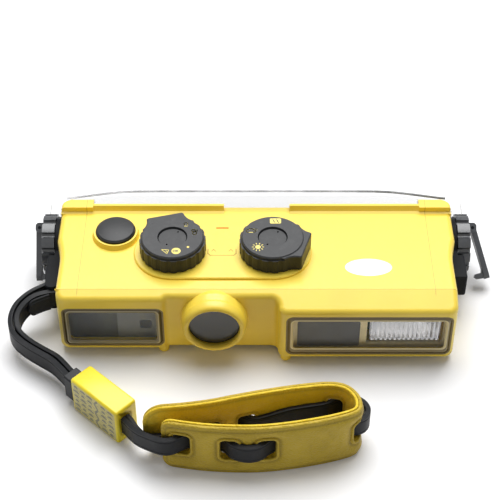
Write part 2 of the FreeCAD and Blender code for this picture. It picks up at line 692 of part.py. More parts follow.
def dial_body(x, wing_angle):
    """A dial with a scalloped rim, a flat-ended wing, a stepped top and a recess for its cap."""
    z0 = TOP_Z + PLATEAU_H + DIAL_GAP
    step_z = DIAL_TOP_Z - 1.6
    rim = knurl_disc(DIAL_R, DIAL_LOBES, LOBE_DEPTH, z0, step_z, x, DIAL_Y)
    crown = turned_z([(0, step_z - 1), (DIAL_R - 0.8, step_z - 1), (DIAL_R - 0.8, step_z), (DIAL_TOP_R, DIAL_TOP_Z - 0.5),
                      (DIAL_TOP_R - 0.5, DIAL_TOP_Z), (0, DIAL_TOP_Z)], x, DIAL_Y)
    a = math.radians(WING_HALF)
    flat = WING_R * math.cos(a)
    side = WING_R * math.sin(a)
    wing_top = DIAL_TOP_Z - WING_DROP
    reach = DIAL_R * math.cos(math.radians(WING_SPREAD))
    wide = DIAL_R * math.sin(math.radians(WING_SPREAD))
    neck = (0.62 * reach + 0.38 * flat, 0.5 * (wide + side) - WING_WAIST)
    outline = [V(0, -wide, z0), (V(reach, -wide, z0), V(neck[0], -neck[1], z0), V(flat, -side, z0)),
               (V(flat, side, z0), V(neck[0], neck[1], z0), V(reach, wide, z0)), V(0, wide, z0)]
    wing = face_of(outline).extrude(V(0, 0, wing_top - z0))
    uprights = [e for e in wing.Edges if e.BoundBox.ZLength > 3 and e.BoundBox.XMin > flat - 0.1]
    wing = wing.makeFillet(1.2, uprights)
    top_edges = [e for e in wing.Edges if e.BoundBox.ZMin > wing_top - 0.01 and e.BoundBox.XMax > reach + 0.5]
    wing = wing.makeChamfer(0.45, top_edges)
    wing.rotate(V(0, 0, 0), V(0, 0, 1), wing_angle)
    wing.translate(V(x, DIAL_Y, 0))
    body = fuse([rim, crown, wing])
    recess = turned_z([(0, DIAL_TOP_Z - CAP_RECESS - 1.2), (CAP_R + SNUG, DIAL_TOP_Z - CAP_RECESS - 1.2),
                       (CAP_R + SNUG, DIAL_TOP_Z - CAP_RECESS), (CAP_R + 0.5, DIAL_TOP_Z + 1), (0, DIAL_TOP_Z + 1)], x, DIAL_Y)
    bore = cylinder(SHAFT_R, (x, DIAL_Y, z0 - 1), (x, DIAL_Y, DIAL_TOP_Z))
    return cut(body, [recess, bore])


def dial_cap(x):
    """The flat cap in the dial's recess, with two spanner holes."""
    z1 = DIAL_TOP_Z - CAP_RECESS
    cap = cylinder(CAP_R, (x, DIAL_Y, z1 - 1.2), (x, DIAL_Y, z1))
    cap = bevel_edges(cap, 0.25, lambda e: e.BoundBox.ZMin > z1 - 0.01 and e.BoundBox.XLength > 1)
    holes = []
    for a in (60, 240):
        hx = x + 4.9 * math.cos(math.radians(a))
        hy = DIAL_Y + 4.9 * math.sin(math.radians(a))
        holes.append(cylinder(0.45, (hx, hy, z1 - 0.7), (hx, hy, z1 + 1)))
    return cut(cap, holes)


def spiral_cam(x, lead_angle, z0):
    """A cam whose radius grows evenly with the angle, apart from the step where it starts again."""
    count = 24
    pts = []
    for i in range(count + 1):
        turn = -150.0 + i * 300.0 / count
        r = CAM_R + CAM_RISE * math.radians(turn)
        a = math.radians(lead_angle + turn)
        pts.append(V(x + r * math.cos(a), DIAL_Y + r * math.sin(a), z0))
    curve = Part.BSplineCurve()
    curve.interpolate(pts)
    close = Part.LineSegment(pts[-1], pts[0])
    return Part.Face(Part.Wire([curve.toShape(), close.toShape()])).extrude(V(0, 0, CAM_T))


def dial_shaft(x, cam_angle):
    """The shaft through the housing, with its retaining shoulder and the cam at its foot."""
    top = DIAL_TOP_Z - CAP_RECESS - 1.2
    shaft = cylinder(SHAFT_R, (x, DIAL_Y, CAM_Z0), (x, DIAL_Y, top))
    under = TOP_Z - WALL - 0.7
    shoulder = cylinder(SHAFT_R + 1.6, (x, DIAL_Y, under - 1.2), (x, DIAL_Y, under))
    cam = spiral_cam(x, cam_angle, CAM_Z0)
    return fuse([shaft, shoulder, cam])


def shutter_button():
    """The domed release with its stem, its keeper and the pocket for its spring."""
    low = BUTTON_FLOOR_Z + BUTTON_TRAVEL + FIT
    stem_low = TOP_Z - 8.0
    base_r = BUTTON_R - 0.7
    dome = []
    for i in range(DOME_STEPS + 1):
        r = base_r * (1 - i / DOME_STEPS)
        dome.append((r, BUTTON_EDGE_Z + BUTTON_DOME * (1 - (r / base_r) ** 2)))
    cap = turned_z([(0, low), (BUTTON_R - 0.5, low), (BUTTON_R, low + 0.5), (BUTTON_R, BUTTON_EDGE_Z - 0.7)] + dome,
                   BUTTON_X, BUTTON_Y)
    stem = cylinder(STEM_R, (BUTTON_X, BUTTON_Y, stem_low), (BUTTON_X, BUTTON_Y, low + 0.5))
    keeper = cylinder(STEM_R + 1.4, (BUTTON_X, BUTTON_Y, stem_low - 1.0), (BUTTON_X, BUTTON_Y, stem_low + 0.2))
    pocket = tube(SPRING_R + FIT, STEM_R, (BUTTON_X, BUTTON_Y, low - 1), (BUTTON_X, BUTTON_Y, low + SPRING_POCKET))
    return cut(fuse([cap, stem, keeper]), [pocket])


def back_outline(inset, front_y):
    """Plan of the clear back, with its long shallow curve at each end."""
    half = BACK_HALF - inset
    rear = BACK_REAR_Y - inset
    side_y = BACK_SIDE_Y
    bend = BACK_BEND_X
    mid_x = 0.52 * bend + 0.48 * half
    mid_y = rear - 0.22 * (rear - side_y)
    return [V(-half, front_y, 0), V(half, front_y, 0), V(half, side_y, 0),
            (V(half, side_y, 0), V(mid_x, mid_y, 0), V(bend, rear, 0)),
            (V(-bend, rear, 0), V(-mid_x, mid_y, 0), V(-half, side_y, 0))]


def lifted(items, z):
    up = V(0, 0, z)
    return [tuple(v + up for v in i) if isinstance(i, tuple) else i + up for i in items]


def back_cover():
    """The clear tray that closes the rear, with ears, hinge knuckles and the two catch arms."""
    front = REAR_Y + BACK_GAP
    outer = face_of(lifted(back_outline(0, front), BACK_LOW_Z)).extrude(V(0, 0, BACK_TOP_Z - BACK_LOW_Z))
    edges = [e for e in outer.Edges if (e.BoundBox.ZMin > BACK_TOP_Z - 0.01 or e.BoundBox.ZMax < BACK_LOW_Z + 0.01)
             and e.BoundBox.YMin > front + 0.01]
    outer = outer.makeFillet(2.0, edges)
    w = BACK_WALL
    inner = face_of(lifted(back_outline(w, front - 5), BACK_LOW_Z + w)).extrude(V(0, 0, BACK_TOP_Z - BACK_LOW_Z - 2 * w))
    ears = []
    arms = []
    for side in (-1, 1):
        xa, xb = sorted((side * (END_X + 2 * FIT), side * EAR_X))
        ear = box(xa, xb, EAR_Y[0], EAR_Y[1], EAR_Z[0], EAR_Z[1])
        ends = [e for e in ear.Edges if abs(e.BoundBox.Center.x - side * EAR_X) < 0.01 and e.BoundBox.YLength < 0.01]
        xa, xb = sorted((side * (BACK_HALF - 3), side * (EAR_X - 1)))
        neck = box(xa, xb, front + 0.3, EAR_Y[1], EAR_Z[0], EAR_Z[1])
        ears.append(ear.makeFillet(1.2, ends).fuse(neck))
        xa, xb = sorted((side * CATCH_X0, side * CATCH_X1))
        arm = box(xa, xb, STUD_Y - 2.4, BACK_REAR_Y, STUD_Z - 2.2, STUD_Z + 2.2)
        arms.append(arm.cut(box(xa, xb, front, BACK_REAR_Y + 1, STUD_Z - 3, STUD_Z + 3)))
        arms.append(arm.common(outer))
        arms.append(cylinder(STUD_R, (side * CATCH_X0, STUD_Y, STUD_Z), (side * CLAW_X1, STUD_Y, STUD_Z)))
    tab = box(NOTCH_X0 + FIT, NOTCH_X1 - FIT, RIM_Y + 0.2, front + 1.0, TOP_Z + FIT, RIM_TOP_Z - 0.6)
    knuckles = hinge_barrels(BACK_KNUCKLES, REAR_Y + 4.2, HINGE_Z + 0.8)
    body = fuse([outer.cut(inner)] + ears + arms + [tab] + knuckles)
    tools = [cylinder(HINGE_PIN_R + RUNNING, (-HALF_LENGTH, HINGE_Y, HINGE_Z), (HALF_LENGTH, HINGE_Y, HINGE_Z))]
    for x0, x1 in HOUSING_KNUCKLES:
        tools.append(box(x0 - FIT, x1 + FIT, REAR_Y - 1, HINGE_Y + KNUCKLE_R + 0.5, -1, HINGE_Z + KNUCKLE_R + 0.8))
    for side in (-1, 1):
        xa, xb = sorted((side * (POST_IN_X - FIT), side * (END_X + 2)))
        tools.append(box(xa, xb, REAR_Y - 1, POST_REAR_Y + 0.4, TOP_Z + 0.1, RIM_TOP_Z + 1))
    return cut(body, tools)


def latch_base(side):
    """The black base: a thin disc behind the knob and a block in front of it, seated on the flared end."""
    x0 = END_X
    x1 = END_X + BASE_THICK
    low, high = KNOB_Z - ARM_HALF_Z, KNOB_Z + ARM_HALF_Z
    arm_y1 = KNOB_Y - KNOB_R - 2 * FIT
    disc = cylinder(BASE_R, (x0, KNOB_Y, KNOB_Z), (x1, KNOB_Y, KNOB_Z))
    block = box(HALF_LENGTH - 1, END_X + ARM_THICK, ARM_FRONT_Y, arm_y1, low, high)
    outer = [e for e in block.Edges if e.BoundBox.XMin > END_X + ARM_THICK - 0.01 and e.BoundBox.YMin < arm_y1 - 0.1]
    block = block.makeFillet(1.0, outer)
    link = box(END_X, x1, arm_y1 - 1, KNOB_Y, low, high)
    pieces = [disc, block, link]
    if side < 0:
        pieces.append(mirrored(strap_lug()))
    base = fuse(pieces)
    tools = [cylinder(LATCH_SHAFT_R + RUNNING, (x0 - 1, KNOB_Y, KNOB_Z), (x1 + 1, KNOB_Y, KNOB_Z)),
             plan_prism(plan_outline(), 0, TOP_Z)]
    base = cut(base, tools)
    return base if side > 0 else mirrored(base)


def latch_knob(side):
    """The scalloped disc, its grip lands, and the two ears that carry the lever."""
    x0 = KNOB_X0
    x1 = KNOB_X1
    step = 360.0 / KNOB_SCALLOPS
    arcs = []
    for i in range(KNOB_SCALLOPS):
        a0 = i * step + 0.25 * step
        land = 0.62 * step
        ring = [(KNOB_R, a0), (KNOB_R, a0 + land / 2), (KNOB_R, a0 + land)]
        dip = [(KNOB_R, a0 + land), (KNOB_R - SCALLOP_DEPTH, a0 + land + (step - land) / 2), (KNOB_R, a0 + step)]
        for arc in (ring, dip):
            arcs.append(tuple(V(x0, KNOB_Y + r * math.cos(math.radians(a)), KNOB_Z + r * math.sin(math.radians(a)))
                              for r, a in arc))
    disc = face_of(arcs).extrude(V(KNOB_THICK, 0, 0))
    rim_ring = turned_x([(KNOB_R - 3.4, x1 - 0.8), (KNOB_R - 2.6, x1 - 0.8), (KNOB_R - 2.6, x1 + 1), (KNOB_R - 3.4, x1 + 1)],
                        KNOB_Y, KNOB_Z)
    ears = []
    half = LEVER_W / 2 + FIT
    for e in (-1, 1):
        a, b = sorted((e * half, e * (half + LEVER_EAR_T)))
        high = LEVER_LIFT + LEVER_KNUCKLE_R
        ear = box(-2.4, 2.4, a, b, -0.8, high)
        top = [d for d in ear.Edges if d.BoundBox.ZMin > high - 0.01 and d.BoundBox.YLength > 0.5]
        ears.append(ear.makeFillet(1.7, top))
    knob = fuse([disc.cut(rim_ring)] + [placed_on_knob(ear, x1, 0) for ear in ears])
    bore = cylinder(LATCH_SHAFT_R, (x0 - 1, KNOB_Y, KNOB_Z), (x1 - 0.8, KNOB_Y, KNOB_Z))
    pin = placed_on_knob(cylinder(LEVER_PIN_R, (0, -10, LEVER_LIFT), (0, 10, LEVER_LIFT)), x1, 0)
    knob = cut(knob, [bore, pin])
    return knob if side > 0 else mirrored(knob)


def placed_on_knob(shape, face_x, open_angle):
    """Takes a shape from the lever's own frame to the knob: X along the lever, Y along its pin, Z outwards.

    The shape turns open by open_angle about the pin's axis.
    """
    shape = shape.copy()
    shape.rotate(V(0, 0, LEVER_LIFT), V(0, -1, 0), open_angle)
    a = math.radians(LEVER_ANGLE)
    along = V(0, math.cos(a), math.sin(a))
    out = V(1, 0, 0)
    pin = out.cross(along)
    home = V(face_x, KNOB_Y, KNOB_Z) - along * LEVER_PIVOT
    m = FreeCAD.Matrix(along.x, pin.x, out.x, home.x, along.y, pin.y, out.y, home.y, along.z, pin.z, out.z, home.z, 0, 0, 0, 1)
    return shape.transformed(m)


def lever(side, open_angle):
    """The fold-out lever: knuckle, tapered blade, and the triangular foot that hooks over the rim."""
    w = LEVER_W / 2
    knuckle = cylinder(LEVER_KNUCKLE_R, (0, -w, LEVER_LIFT), (0, w, LEVER_LIFT))
    z0 = LEVER_LIFT + LEVER_KNUCKLE_R - LEVER_T
    blade = prism_z([(0, -w), (LEVER_LENGTH * 0.55, -w + 0.6), (LEVER_LENGTH - 2, -w + 0.9), (LEVER_LENGTH, -w + 2), (LEVER_LENGTH, w - 2),
                     (LEVER_LENGTH - 2, w - 0.9), (LEVER_LENGTH * 0.55, w - 0.6), (0, w)], z0, z0 + LEVER_T)
    foot_x = LEVER_PIVOT + KNOB_R + 0.5
    half = LEVER_FOOT_W / 2
    foot = face_of([V(foot_x - 3.0, -half, z0 + 0.2), V(LEVER_LENGTH - 0.4, -half, z0 + 0.2),
                    V(LEVER_LENGTH - 0.9, -half, z0 - LEVER_FOOT_REACH + 1), V(foot_x + 1.2, -half, z0 - LEVER_FOOT_REACH),
                    V(foot_x, -half, z0 - LEVER_FOOT_REACH + 0.8), V(foot_x, -half, z0 - 0.6)])
    foot = foot.extrude(V(0, LEVER_FOOT_W, 0))
    body = fuse([knuckle, blade, foot])
    body = cut(body, [cylinder(LEVER_PIN_R + RUNNING, (0, -10, LEVER_LIFT), (0, 10, LEVER_LIFT))])
    body = placed_on_knob(body, KNOB_X1, open_angle)
    return body if side > 0 else mirrored(body)


def lever_pin(side):
    reach = LEVER_W / 2 + FIT + LEVER_EAR_T
    pin = placed_on_knob(cylinder(LEVER_PIN_R, (0, -reach, LEVER_LIFT), (0, reach, LEVER_LIFT)), KNOB_X1, 0)
    return pin if side > 0 else mirrored(pin)


def latch_shaft(side):
    """Shaft through the end wall with the claw that holds the back's catch stud."""
    x_top = KNOB_X1 - 0.8
    shaft = cylinder(LATCH_SHAFT_R, (CLAW_X0, KNOB_Y, KNOB_Z), (x_top, KNOB_Y, KNOB_Z))
    hub = cylinder(LATCH_SHAFT_R + 1.2, (CLAW_X0, KNOB_Y, KNOB_Z), (CLAW_X1, KNOB_Y, KNOB_Z))
    tip = tuple(V(CLAW_X0, y, z) for y, z in arc_points(KNOB_Y, KNOB_Z, CLAW_R, CLAW_FROM, CLAW_TO))
    blade = face_of([V(CLAW_X0, KNOB_Y, KNOB_Z), tip]).extrude(V(CLAW_X1 - CLAW_X0, 0, 0))
    claw = fuse([shaft, hub, blade])
    return claw if side > 0 else mirrored(claw)


def inner_chassis():
    """The black inner frame: film chamber with two wells and the picture gate, and the battery tray."""
    w = CHASSIS_WALL
    film = box(FILM_X0 - w, FILM_X1 + w, FILM_Y0 - w, FILM_REAR_Y, FLOOR_Z, CEILING_Z)
    z0 = FLOOR_Z + w
    z1 = CEILING_Z - w
    shallow = box(FILM_X0, FILM_X1, FILM_PLANE_Y, FILM_REAR_Y + 1, z0, z1)
    wells = [box(FILM_X0, FILM_X0 + FILM_WELL, FILM_Y0, FILM_REAR_Y, z0, z1),
             box(FILM_X1 - FILM_WELL, FILM_X1, FILM_Y0, FILM_REAR_Y, z0, z1)]
    gate = box(GATE_X - GATE_W / 2, GATE_X + GATE_W / 2, FILM_Y0 - 2 * w, FILM_REAR_Y, LENS_Z - GATE_H / 2, LENS_Z + GATE_H / 2)
    tray = box(FILM_X1 + w, TRAY_X1, BATTERY_Y - BATTERY_R - 2.4, FILM_REAR_Y, FLOOR_Z, BATTERY_Z + 3.0)
    trough = cylinder(BATTERY_R + 0.2, (FILM_X1 + 2.0 * w, BATTERY_Y, BATTERY_Z), (TRAY_X1 - w, BATTERY_Y, BATTERY_Z))
    open_rear = box(FILM_X1 + 2.0 * w, TRAY_X1 - w, BATTERY_Y, FILM_REAR_Y + 1, BATTERY_Z - BATTERY_R - 0.2, BATTERY_Z + 20)
    open_top = box(FILM_X1 + 2.0 * w, TRAY_X1 - w, BATTERY_Y - BATTERY_R - 0.2, BATTERY_Y + 1, BATTERY_Z, BATTERY_Z + 20)
    boss = cylinder(SOCKET_OUTER_R + SOCKET_BOSS_WALL + FIT, (0, 0, 0), (0, 0, BELLY_Z + 8.0 + FIT))
    return cut(fuse([film, tray]), [shallow, gate, trough, open_rear, open_top, boss] + wells)


def battery_pieces():
    x1 = BATTERY_X0 + BATTERY_L
    cell = cylinder(BATTERY_R, (BATTERY_X0, BATTERY_Y, BATTERY_Z), (x1 - 1.4, BATTERY_Y, BATTERY_Z))
    cell = bevel_edges(cell, 0.5, lambda e: e.BoundBox.YLength > 5)
    nub = cylinder(2.7, (x1 - 1.5, BATTERY_Y, BATTERY_Z), (x1, BATTERY_Y, BATTERY_Z))
    low_plate = box(FILM_X1 + 2 * CHASSIS_WALL, FILM_X1 + 2 * CHASSIS_WALL + 0.8, BATTERY_Y - 5, BATTERY_Y + 5, BATTERY_Z - 5, BATTERY_Z + 5)
    plate_x = FILM_X1 + 2 * CHASSIS_WALL + 0.8
    spring = turned_x([(0, plate_x), (5.0, plate_x), (2.6, BATTERY_X0), (0, BATTERY_X0)], BATTERY_Y, BATTERY_Z)
    high_x = TRAY_X1 - CHASSIS_WALL
    high_plate = box(high_x - 0.8, high_x, BATTERY_Y - 5, BATTERY_Y + 5, BATTERY_Z - 5, BATTERY_Z + 5)
    pip = cylinder(2.2, (x1, BATTERY_Y, BATTERY_Z), (high_x - 0.7, BATTERY_Y, BATTERY_Z))
    return fuse([cell, nub]), fuse([low_plate, spring]), fuse([high_plate, pip])


def lens_pieces():
    """The sliding barrel with its follower arm, the lens in it, the fixed bracket and the shutter box."""
    centre = (LENS_X, LENS_Z)
    rear = DIAL_Y - CAM_R - CAM_GAP
    barrel = cylinder(BARREL_R, (LENS_X, BARREL_FRONT_Y, LENS_Z), (LENS_X, rear, LENS_Z))
    arm_z0 = CAM_Z0 + 0.3
    arm = box(FOCUS_X - 2.0, LENS_X, rear - FOLLOWER_T, rear, arm_z0, arm_z0 + 1.8)
    bore = [cylinder(LENS_R, (LENS_X, BARREL_FRONT_Y - 1, LENS_Z), (LENS_X, BARREL_FRONT_Y + 4.5, LENS_Z)),
            cylinder(LENS_R - 1.2, (LENS_X, BARREL_FRONT_Y, LENS_Z), (LENS_X, rear + 1, LENS_Z))]
    barrel = cut(fuse([barrel, arm]), bore)
    y0 = BARREL_FRONT_Y + 1.5
    bulge = [(LENS_R * i / 4, y0 - 1.0 + (i / 4) ** 2) for i in range(5)]
    glass = turned_y(bulge + [(LENS_R, y0 + 3.0), (0, y0 + 3.0)], LENS_X, LENS_Z)
    bracket = box(LENS_X - BARREL_R - 3.2, LENS_X + BARREL_R + 3.2, BRACKET_Y[0], BRACKET_Y[1],
                  FLOOR_Z, LENS_Z + BARREL_R + 2.2)
    bracket = round_edges(bracket, 2.0, lambda e: e.BoundBox.ZMin > LENS_Z and e.BoundBox.YLength > 3)
    bracket = cut(bracket, [cylinder(BARREL_R + RUNNING, (LENS_X, -30, LENS_Z), (LENS_X, -10, LENS_Z))])
    box_y0 = APERTURE_Y - 1.4
    shutter = box(SHUTTER_X0, SHUTTER_X1, box_y0, FILM_Y0 - CHASSIS_WALL, FLOOR_Z, CEILING_Z)
    slot = box(SHUTTER_X0 - 1, SHUTTER_X1 + 1, APERTURE_Y - 0.3, APERTURE_Y + APERTURE_T + 0.3, 14.2, 30.0)
    light = cylinder(5.4, (LENS_X, box_y0 - 1, LENS_Z), (LENS_X, FILM_Y0, LENS_Z))
    hollow = box(GATE_X - GATE_W / 2, GATE_X + GATE_W / 2, -2.0, FILM_Y0, LENS_Z - GATE_H / 2, LENS_Z + GATE_H / 2)
    boss = cylinder(SOCKET_OUTER_R + SOCKET_BOSS_WALL + FIT, (0, 0, 0), (0, 0, BELLY_Z + 8.0 + FIT))
    shutter = cut(shutter, [slot, light, hollow, boss])
    tip = EXPOSURE_X - CAM_R - CAM_GAP
    leaf = prism_y([(SHUTTER_X0 + 1, 14.5), (SHUTTER_X1 - 2, 14.5), (SHUTTER_X1 - 2, CAM_Z0 + 0.3), (tip, CAM_Z0 + 0.3),
                    (tip, CAM_Z0 + 2.1), (SHUTTER_X1 - 2, CAM_Z0 + 2.1), (SHUTTER_X1 - 2, 29.7), (SHUTTER_X0 + 1, 29.7)],
                   APERTURE_Y, APERTURE_Y + APERTURE_T)
    stops = [cylinder(r, (LENS_X + dx, APERTURE_Y - 1, LENS_Z), (LENS_X + dx, APERTURE_Y + 2, LENS_Z))
             for dx, r in ((-3.2, 0.9), (0.0, 1.8), (4.2, 2.3))]
    return barrel, glass, bracket, shutter, cut(leaf, stops)


def flash_pieces():
    """Trim frame behind the flash window, bare plate, reflector with its tube, ribbed diffuser and board."""
    x0, x1, z0, z1 = FLASH_WIN
    y = FLASH_FACE_Y + WIN_DEEP
    g = WIN_LEDGE
    trim = plate_y(x0 + g + 0.2, x1 - g - 0.2, z0 + g + 0.2, z1 - g - 0.2, WIN_CORNER_R - 1.2, y + TRIM_GAP, y + TRIM_GAP + TRIM_T)
    back_plate = plate_y(x0 + g - 0.7, x1 - g - 0.3, z0 + g - 0.7, z1 - g + 0.7, WIN_CORNER_R - 1, FLASH_BACK_Y + 0.25, FLASH_BACK_Y + 1.3)
    trim = fuse([trim, box(x0 + 8, x1 - 8, y + 1.0, FLASH_BACK_Y + 0.6, z0 + 7, z1 - 7), back_plate])
    a, b, c, d = LAMP_WIN
    lamp = plate_y(a, b, c, d, 0.8, y - 2, FLASH_BACK_Y + 4)
    e, f, h, k = PLATE_WIN
    plate_seat = plate_y(e - 0.05, f + 0.05, h - 0.05, k + 0.05, 1.0, y - 2, y + TRIM_GAP + 0.5)
    trim = cut(trim, [lamp, plate_seat])
    plate = plate_y(e, f, h, k, 1.0, y + TRIM_GAP - 0.15, y + TRIM_GAP + 0.5)
    mouth_y = FLASH_BACK_Y + 0.7
    m = 1.4
    mouth = [V(a + m, mouth_y, c + m), V(b - m, mouth_y, c + m), V(b - m, mouth_y, d - 0.5), V(a + m, mouth_y, d - 0.5)]
    deep = mouth_y + REFLECTOR_DEEP
    mid = 0.5 * (c + d)
    floor = [V(a + 4, deep, mid - 2.2), V(b - 4, deep, mid - 2.2), V(b - 4, deep, mid + 2.2), V(a + 4, deep, mid + 2.2)]
    outer = Part.makeLoft([closed(mouth), closed(floor)], True, True)
    t = 0.6
    mouth_in = [V(v.x + t * sx, mouth_y - 0.01, v.z + t * sz) for v, sx, sz in zip(mouth, (1, -1, -1, 1), (1, 1, -1, -1))]
    floor_in = [V(v.x + t * sx, deep - t, v.z + t * sz) for v, sx, sz in zip(floor, (1, -1, -1, 1), (1, 1, -1, -1))]
    inner = Part.makeLoft([closed(mouth_in), closed(floor_in)], True, True)
    reflector = outer.cut(inner)
    tube_y = deep - t - 1.6
    lamp_tube = cylinder(1.4, (a + 5, tube_y, mid), (b - 5, tube_y, mid))
    count = 15
    ribs = []
    pitch = (b - a - 2 * m - 0.4) / count
    for i in range(count):
        rx = a + m + 0.2 + i * pitch
        ribs += [(rx, 0.0), (rx + pitch * 0.5, -0.5)]
    ribs.append((a + m + 0.2 + count * pitch, 0.0))
    rib_y = mouth_y - 0.5
    outline = [V(x, rib_y + dy, c + m + 0.2) for x, dy in ribs]
    outline += [V(ribs[-1][0], rib_y + 0.45, c + m + 0.2), V(ribs[0][0], rib_y + 0.45, c + m + 0.2)]
    fresnel = face_of(outline).extrude(V(0, 0, d - 0.7 - c - m - 0.2))
    board_y0 = deep + 1.0
    board = box(BOARD_X0, BOARD_X1, board_y0, board_y0 + BOARD_T, FLOOR_Z, CEILING_Z - 1.0)
    cap_y = board_y0 + BOARD_T + CAPACITOR_R
    cap_z = FLOOR_Z + CAPACITOR_R
    capacitor = cylinder(CAPACITOR_R, (CAPACITOR_X0, cap_y, cap_z), (CAPACITOR_X0 + CAPACITOR_L, cap_y, cap_z))
    capacitor = bevel_edges(capacitor, 0.8, lambda q: q.BoundBox.YLength > 5)
    return trim, plate, reflector, lamp_tube, fresnel, board, capacitor


def closed(points):
    return Part.makePolygon(points + [points[0]])


def tripod_socket():
    """Brass insert with its threaded bore, flush with the feet."""
    insert = cylinder(SOCKET_OUTER_R, (0, 0, 0), (0, 0, SOCKET_DEEP + 0.8))
    bore = cylinder(SOCKET_R, (0, 0, -1), (0, 0, SOCKET_DEEP))
    insert = cut(insert, [bore])
    mouth = [e for e in insert.Edges if e.BoundBox.ZMax < 0.01 and abs(e.BoundBox.XLength - 2 * SOCKET_R) < 0.01]
    return insert.makeChamfer(0.3, mouth)


def back_gasket():
    """The soft ring on the rear face that the clear back closes against."""
    half = HALF_LENGTH - GASKET_INSET
    w = GASKET_W
    outer = plate_y(-half, half, BELLY_Z + 1.2, TOP_Z - 0.9, 3.4, REAR_Y, REAR_Y + GASKET_PROUD)
    inner = plate_y(-half + w, half - w, BELLY_Z + 1.2 + w, TOP_Z - 0.9 - w, 3.4 - w, REAR_Y - 1, REAR_Y + 1)
    return outer.cut(inner)


def hinge_pin():
    return cylinder(HINGE_PIN_R, (HOUSING_KNUCKLES[0][0], HINGE_Y, HINGE_Z), (HOUSING_KNUCKLES[-1][1], HINGE_Y, HINGE_Z))


def advance_lever():
    """Flat film advance lever under the belly, on a shaft through the floor."""
    z1 = BELLY_Z - FIT
    z0 = z1 - ADVANCE_T
    hub = cylinder(5.0, (ADVANCE_X, ADVANCE_Y, z0), (ADVANCE_X, ADVANCE_Y, z1))
    half = ADVANCE_W / 2
    blade = prism_z([(ADVANCE_X, ADVANCE_Y - half), (ADVANCE_X + ADVANCE_L, ADVANCE_Y - half), (ADVANCE_X + ADVANCE_L, ADVANCE_Y + half),
                     (ADVANCE_X, ADVANCE_Y + half)], z0, z1)
    tips = [e for e in blade.Edges if e.BoundBox.XMin > ADVANCE_X + ADVANCE_L - 0.1 and e.BoundBox.ZLength > 1]
    blade = blade.makeFillet(3.0, tips)
    shaft = cylinder(ADVANCE_SHAFT_R, (ADVANCE_X, ADVANCE_Y, z0), (ADVANCE_X, ADVANCE_Y, FLOOR_Z + 3.0))
    wheel = knurl_disc(5.0, 8, 0.8, FLOOR_Z + FIT, FLOOR_Z + FIT + 1.6, ADVANCE_X, ADVANCE_Y)
    return fuse([hub, blade, shaft, wheel])


def shutter_spring():
    """The return spring round the stem, from the floor of the collar into the button's pocket."""
    top = BUTTON_FLOOR_Z + BUTTON_TRAVEL + FIT + SPRING_POCKET
    return tube(SPRING_R, SPRING_R - SPRING_WIRE, (BUTTON_X, BUTTON_Y, BUTTON_FLOOR_Z), (BUTTON_X, BUTTON_Y, top))


def smooth_line(points, share=0.45):
    """Straight runs joined by tangent arcs; returns the wire's edges and the smallest arc radius."""
    points = [V(*p) for p in points]
    edges = []
    radii = []
    last = points[0]
    for a, b, c in zip(points, points[1:], points[2:]):
        back = (a - b)
        ahead = (c - b)
        reach = share * min(back.Length, ahead.Length)
        back.normalize()
        ahead.normalize()
        turn = math.pi - back.getAngle(ahead)
        start = b + back * reach
        end = b + ahead * reach
        radius = reach / math.tan(turn / 2)
        radii.append(radius)
        half_way = (start + end) * 0.5 - b
        depth = radius / math.cos(turn / 2) - radius
        half_way.normalize()
        middle = b + half_way * depth
        if last.distanceToPoint(start) > 1e-6:
            edges.append(Part.LineSegment(last, start).toShape())
        edges.append(Part.Arc(start, middle, end).toShape())
        last = end
    edges.append(Part.LineSegment(last, points[-1]).toShape())
    return edges, min(radii)


def stations(edges, steps):
    """Points along the edges with the flat direction of travel at each."""
    out = []
    for e in edges:
        count = steps if isinstance(e.Curve, Part.Circle) else 1
        a, b = e.ParameterRange
        for i in range(count + 1):
            u = a + (b - a) * i / count
            place = e.valueAt(u)
            way = e.tangentAt(u)
            if out and out[-1][0].distanceToPoint(place) < 0.01:
                continue
            out.append((place, V(way.x, way.y, 0).normalize()))
    return out


def band(points, width=BAND_T, height=BAND_H, steps=3):
    """A flat band that stands on edge along a hand-chosen line, moved along with the lug."""
    edges, tightest = smooth_line([(x + STRAP_MOVE, y, z) for x, y, z in points])
    rings = []
    for place, way in stations(edges, steps):
        side = V(-way.y, way.x, 0) * (width / 2)
        up = V(0, 0, height / 2)
        rings.append(closed([place - side - up, place + side - up, place + side + up, place - side + up]))
    solid = Part.makeLoft(rings, True, True)
    print("band radius at least", round(tightest, 2), "length", round(sum(e.Length for e in edges), 1))
    return solid


def lug_loop():
    """The turn of the band round the lug's pin, from the outer strand to the inner one."""
    inner = LUG_PIN_R + FIT
    outer = inner + BAND_T
    z0 = LUG_LIFT - BAND_H / 2
    section = face_of([V(LUG_X + inner, LUG_Y, z0), V(LUG_X + outer, LUG_Y, z0), V(LUG_X + outer, LUG_Y, z0 + BAND_H),
                       V(LUG_X + inner, LUG_Y, z0 + BAND_H)])
    section.rotate(V(LUG_X, LUG_Y, 0), V(0, 0, 1), LOOP_START)
    return section.revolve(V(LUG_X, LUG_Y, 0), V(0, 0, 1), LOOP_END - LOOP_START)


